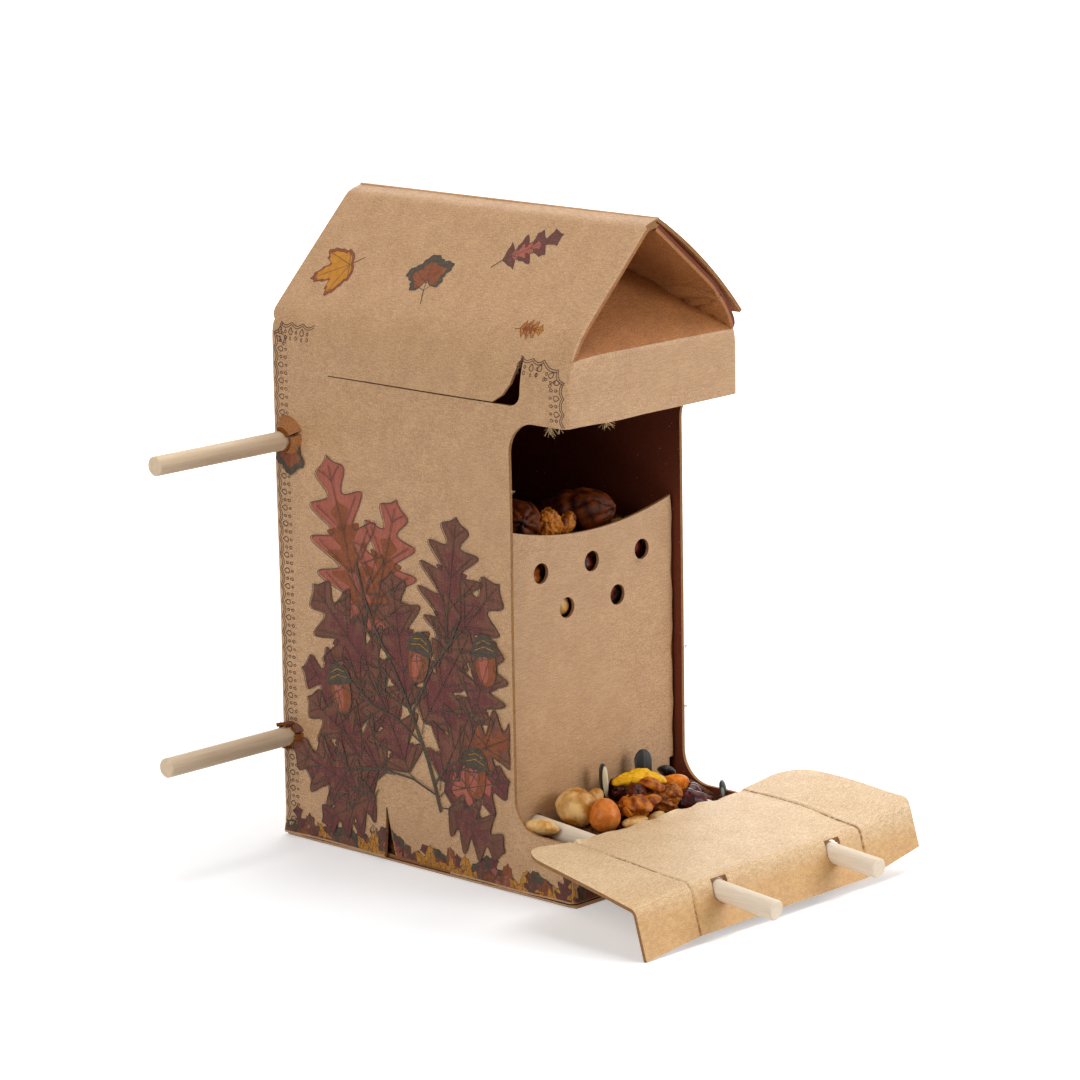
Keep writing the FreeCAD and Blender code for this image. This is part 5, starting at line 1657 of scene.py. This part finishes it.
class FEEDER_OT_packed_feed(bpy.types.Operator):
    """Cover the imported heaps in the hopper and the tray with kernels"""
    bl_idname = "feeder.packed_feed"
    bl_label = "Packed feed"

    def execute(self, context):
        """Make both heaps."""
        draw = random.Random(context.scene.feeder_feed.seed)
        for node, count in (("hopper_feed", context.scene.feeder_feed.bits), ("tray_feed", 14)):
            low, high = box_mm(node)
            heap = board_copy(node, 0, 0, 0)
            sinking = [vert for vert in heap.verts if vert.co.z > 5]
            bmesh.ops.translate(heap, vec=(0, 0, -HEAP_SINKS), verts=sinking)
            left = low.x + 5
            if node == "tray_feed":
                left = -4.0
                cut_across(heap, 0, [-24.0, -20.0, -16.0, -12.0])
                hollow = [vert for vert in heap.verts if vert.co.z > 15 and vert.co.x < -18]
                bmesh.ops.translate(heap, vec=(0, 0, -4.0), verts=hollow)
            surface = heap_surface(heap, low, high)
            scatter(heap, (left, low.y + 5), (high.x - 5, high.y - 5), surface, count, draw)
            extra = BETWEEN if node == "tray_feed" else [(kind, (x, low.y - 0.2, z), *rest)
                                                         for x, z, kind, *rest in BEHIND_VENTS]
            for kind, middle, size, turn, index in extra:
                put_kernel(heap, kind, middle, size, turn, middle[0], index)
            finish_piece(heap, node + "_kernels", "box", [node], MIXTURE_MATERIALS, 60)
        return {"FINISHED"}


# Stage

# The photograph's camera, in millimetres, degrees and, for its place, metres
CAMERA = {"focal": 148.28, "yaw": -46.022, "pitch": 12.313, "roll": -0.981,
          "place": (-1.12597, -1.10417, 0.45879), "sensor": 36.0}


def make_camera():
    """The camera at the photograph's place: yaw left of +Y, pitch down and a slight roll."""
    yaw, pitch, roll = [math.radians(CAMERA[name]) for name in ("yaw", "pitch", "roll")]
    ahead = Vector((-math.sin(yaw) * math.cos(pitch), math.cos(yaw) * math.cos(pitch), -math.sin(pitch)))
    level = Vector((math.cos(yaw), math.sin(yaw), 0))
    above = level.cross(ahead)
    right = level * math.cos(roll) + above * math.sin(roll)
    up = above * math.cos(roll) - level * math.sin(roll)
    data = bpy.data.cameras.new("photo_camera")
    data.lens = CAMERA["focal"]
    data.sensor_width = CAMERA["sensor"]
    data.clip_end = 50
    camera = bpy.data.objects.new("photo_camera", data)
    turned = Matrix((right, up, -ahead)).transposed().to_4x4()
    camera.matrix_world = Matrix.Translation(CAMERA["place"]) @ turned
    bpy.context.scene.collection.objects.link(camera)
    bpy.context.scene.camera = camera


# The lamps: name, place and width of the square in metres, and watts
LAMPS = (("overhead", (0.4, 0.0, 1.4), 1.2, 16.0), ("front", (0.9, -1.4, 0.6), 0.9, 15.5),
         ("left", (-1.5, -0.3, 0.9), 1.0, 12.4), ("back", (1.15, 1.15, 0.6), 1.0, 5.5))
LAMPS_AIM = (0, 0, 0.1)


def make_lamp(name, place, size, watts):
    """A soft square lamp that points at the object."""
    data = bpy.data.lights.new(name, "AREA")
    data.shape = "SQUARE"
    data.size = size
    data.energy = watts
    lamp = bpy.data.objects.new(name, data)
    lamp.location = place
    lamp.rotation_mode = "QUATERNION"
    lamp.rotation_quaternion = (Vector(LAMPS_AIM) - Vector(place)).to_track_quat("-Z", "Y")
    bpy.context.scene.collection.objects.link(lamp)


def seen_directly(tree):
    """1 for rays of the camera, of reflections and of clear materials."""
    path = add(tree, "ShaderNodeLightPath")
    seen = combine(tree, path.outputs["Is Camera Ray"], path.outputs["Is Glossy Ray"], "MAXIMUM")
    return combine(tree, seen, path.outputs["Is Transmission Ray"], "MAXIMUM")


def paper_floor():
    """White studio paper: matt, with the object's shadow; to the camera it glows more the farther it lies."""
    made, tree, shader, place = start_material("studio_paper", 0.9, 0.1)
    shader.inputs["Base Color"].default_value = (0.86, 0.86, 0.87, 1)
    away = add(tree, "ShaderNodeVectorMath", {0: place}, operation="LENGTH").outputs["Value"]
    far = ramp(tree, away, 0.12, 0.7, 0.34, 0.9, interpolation_type="SMOOTHSTEP")
    glow = add(tree, "ShaderNodeEmission", {"Color": (1, 1, 1, 1),
                                            "Strength": times(tree, seen_directly(tree), far)})
    both = add(tree, "ShaderNodeAddShader", {0: shader.outputs[0], 1: glow.outputs[0]})
    output = [node for node in tree.nodes if node.type == "OUTPUT_MATERIAL"][0]
    tree.links.new(both.outputs[0], output.inputs["Surface"])
    return made


def make_world():
    """Soft even light from all round; the camera and reflections see white."""
    world = bpy.data.worlds.new("studio")
    world.use_nodes = True
    tree = world.node_tree
    tree.nodes.clear()
    strength = ramp(tree, seen_directly(tree), 0.0, 1.0, 0.16, 1.0)
    light = add(tree, "ShaderNodeBackground", {"Color": (1, 1, 1, 1), "Strength": strength})
    add(tree, "ShaderNodeOutputWorld", {"Surface": light.outputs[0]})
    bpy.context.scene.world = world


# In metres: half the paper's width, how far in front of the middle it begins to fall, and how far it then
# curves
PAPER_HALF = 6
PAPER_FALLS_FROM = 0.2
PAPER_CURVES_FOR = 0.3


def paper_falls(points):
    """The paper falls away in front, so that the landing dowels slide out down their slope above it."""
    moved = points.copy()
    out = -points[:, 1] - PAPER_FALLS_FROM
    curved = np.clip(out, 0, PAPER_CURVES_FOR)
    moved[:, 2] -= 0.62 * curved ** 2 + 0.37 * np.clip(out - PAPER_CURVES_FOR, 0, None)
    return moved


class FEEDER_OT_stage(bpy.types.Operator):
    """Set the floor, the light and the camera"""
    bl_idname = "feeder.stage"
    bl_label = "Stage"

    def execute(self, context):
        """Make the stage and set how colours are shown."""
        floor = bmesh.new()
        bmesh.ops.create_grid(floor, x_segments=2, y_segments=2, size=PAPER_HALF)
        cut_across(floor, 1, [-PAPER_FALLS_FROM - 0.02 * step for step in range(16)])
        warp(floor, paper_falls)
        new_object("floor", floor, [paper_floor()])
        make_world()
        for lamp in LAMPS:
            make_lamp(*lamp)
        make_camera()
        context.scene.view_settings.view_transform = "Standard"
        return {"FINISHED"}


# Add-on

OPERATORS = [FEEDER_OT_walls, FEEDER_OT_roof, FEEDER_OT_chute, FEEDER_OT_landing, FEEDER_OT_print,
             FEEDER_OT_torn_edges, FEEDER_OT_dowels, FEEDER_OT_packed_feed, FEEDER_OT_loose_feed,
             FEEDER_OT_stage]
GROUPS = {"feeder_board": FeederBoardSizes, "feeder_print": FeederPrintSizes, "feeder_feed": FeederFeedSizes,
          "feeder_colours": FeederColours}


class FEEDER_PT_panel(bpy.types.Panel):
    """The feeder's sizes, colours and steps"""
    bl_idname = "FEEDER_PT_panel"
    bl_label = "Squirrel feeder box"
    bl_space_type = "VIEW_3D"
    bl_region_type = "UI"
    bl_category = "Feeder"

    def draw(self, context):
        """List every property and every step."""
        for name, group in GROUPS.items():
            box = self.layout.box()
            for prop in group.__annotations__:
                box.prop(getattr(context.scene, name), prop)
        for operator in OPERATORS:
            self.layout.operator(operator.bl_idname)


def register():
    """Register the classes and hang their properties on the scene."""
    for group in GROUPS.values():
        bpy.utils.register_class(group)
    for operator in OPERATORS:
        bpy.utils.register_class(operator)
    bpy.utils.register_class(FEEDER_PT_panel)
    for name, group in GROUPS.items():
        setattr(bpy.types.Scene, name, PointerProperty(type=group))


def unregister():
    """Take everything off again."""
    for name in GROUPS:
        delattr(bpy.types.Scene, name)
    bpy.utils.unregister_class(FEEDER_PT_panel)
    for operator in OPERATORS[::-1]:
        bpy.utils.unregister_class(operator)
    for group in GROUPS.values():
        bpy.utils.unregister_class(group)


def run_step(operator):
    """Call an operator by its idname."""
    module, name = operator.bl_idname.split(".")
    getattr(getattr(bpy.ops, module), name)()


def main():
    """Build the feeder and its stage."""
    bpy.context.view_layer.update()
    for name in ("Cube", "Light", "Camera"):
        if name in bpy.data.objects:
            bpy.data.objects.remove(bpy.data.objects[name])
    register()
    MATERIALS.update(make_materials())
    for operator in OPERATORS:
        run_step(operator)
    bpy.context.view_layer.update()


if __name__ == "__main__":
    main()
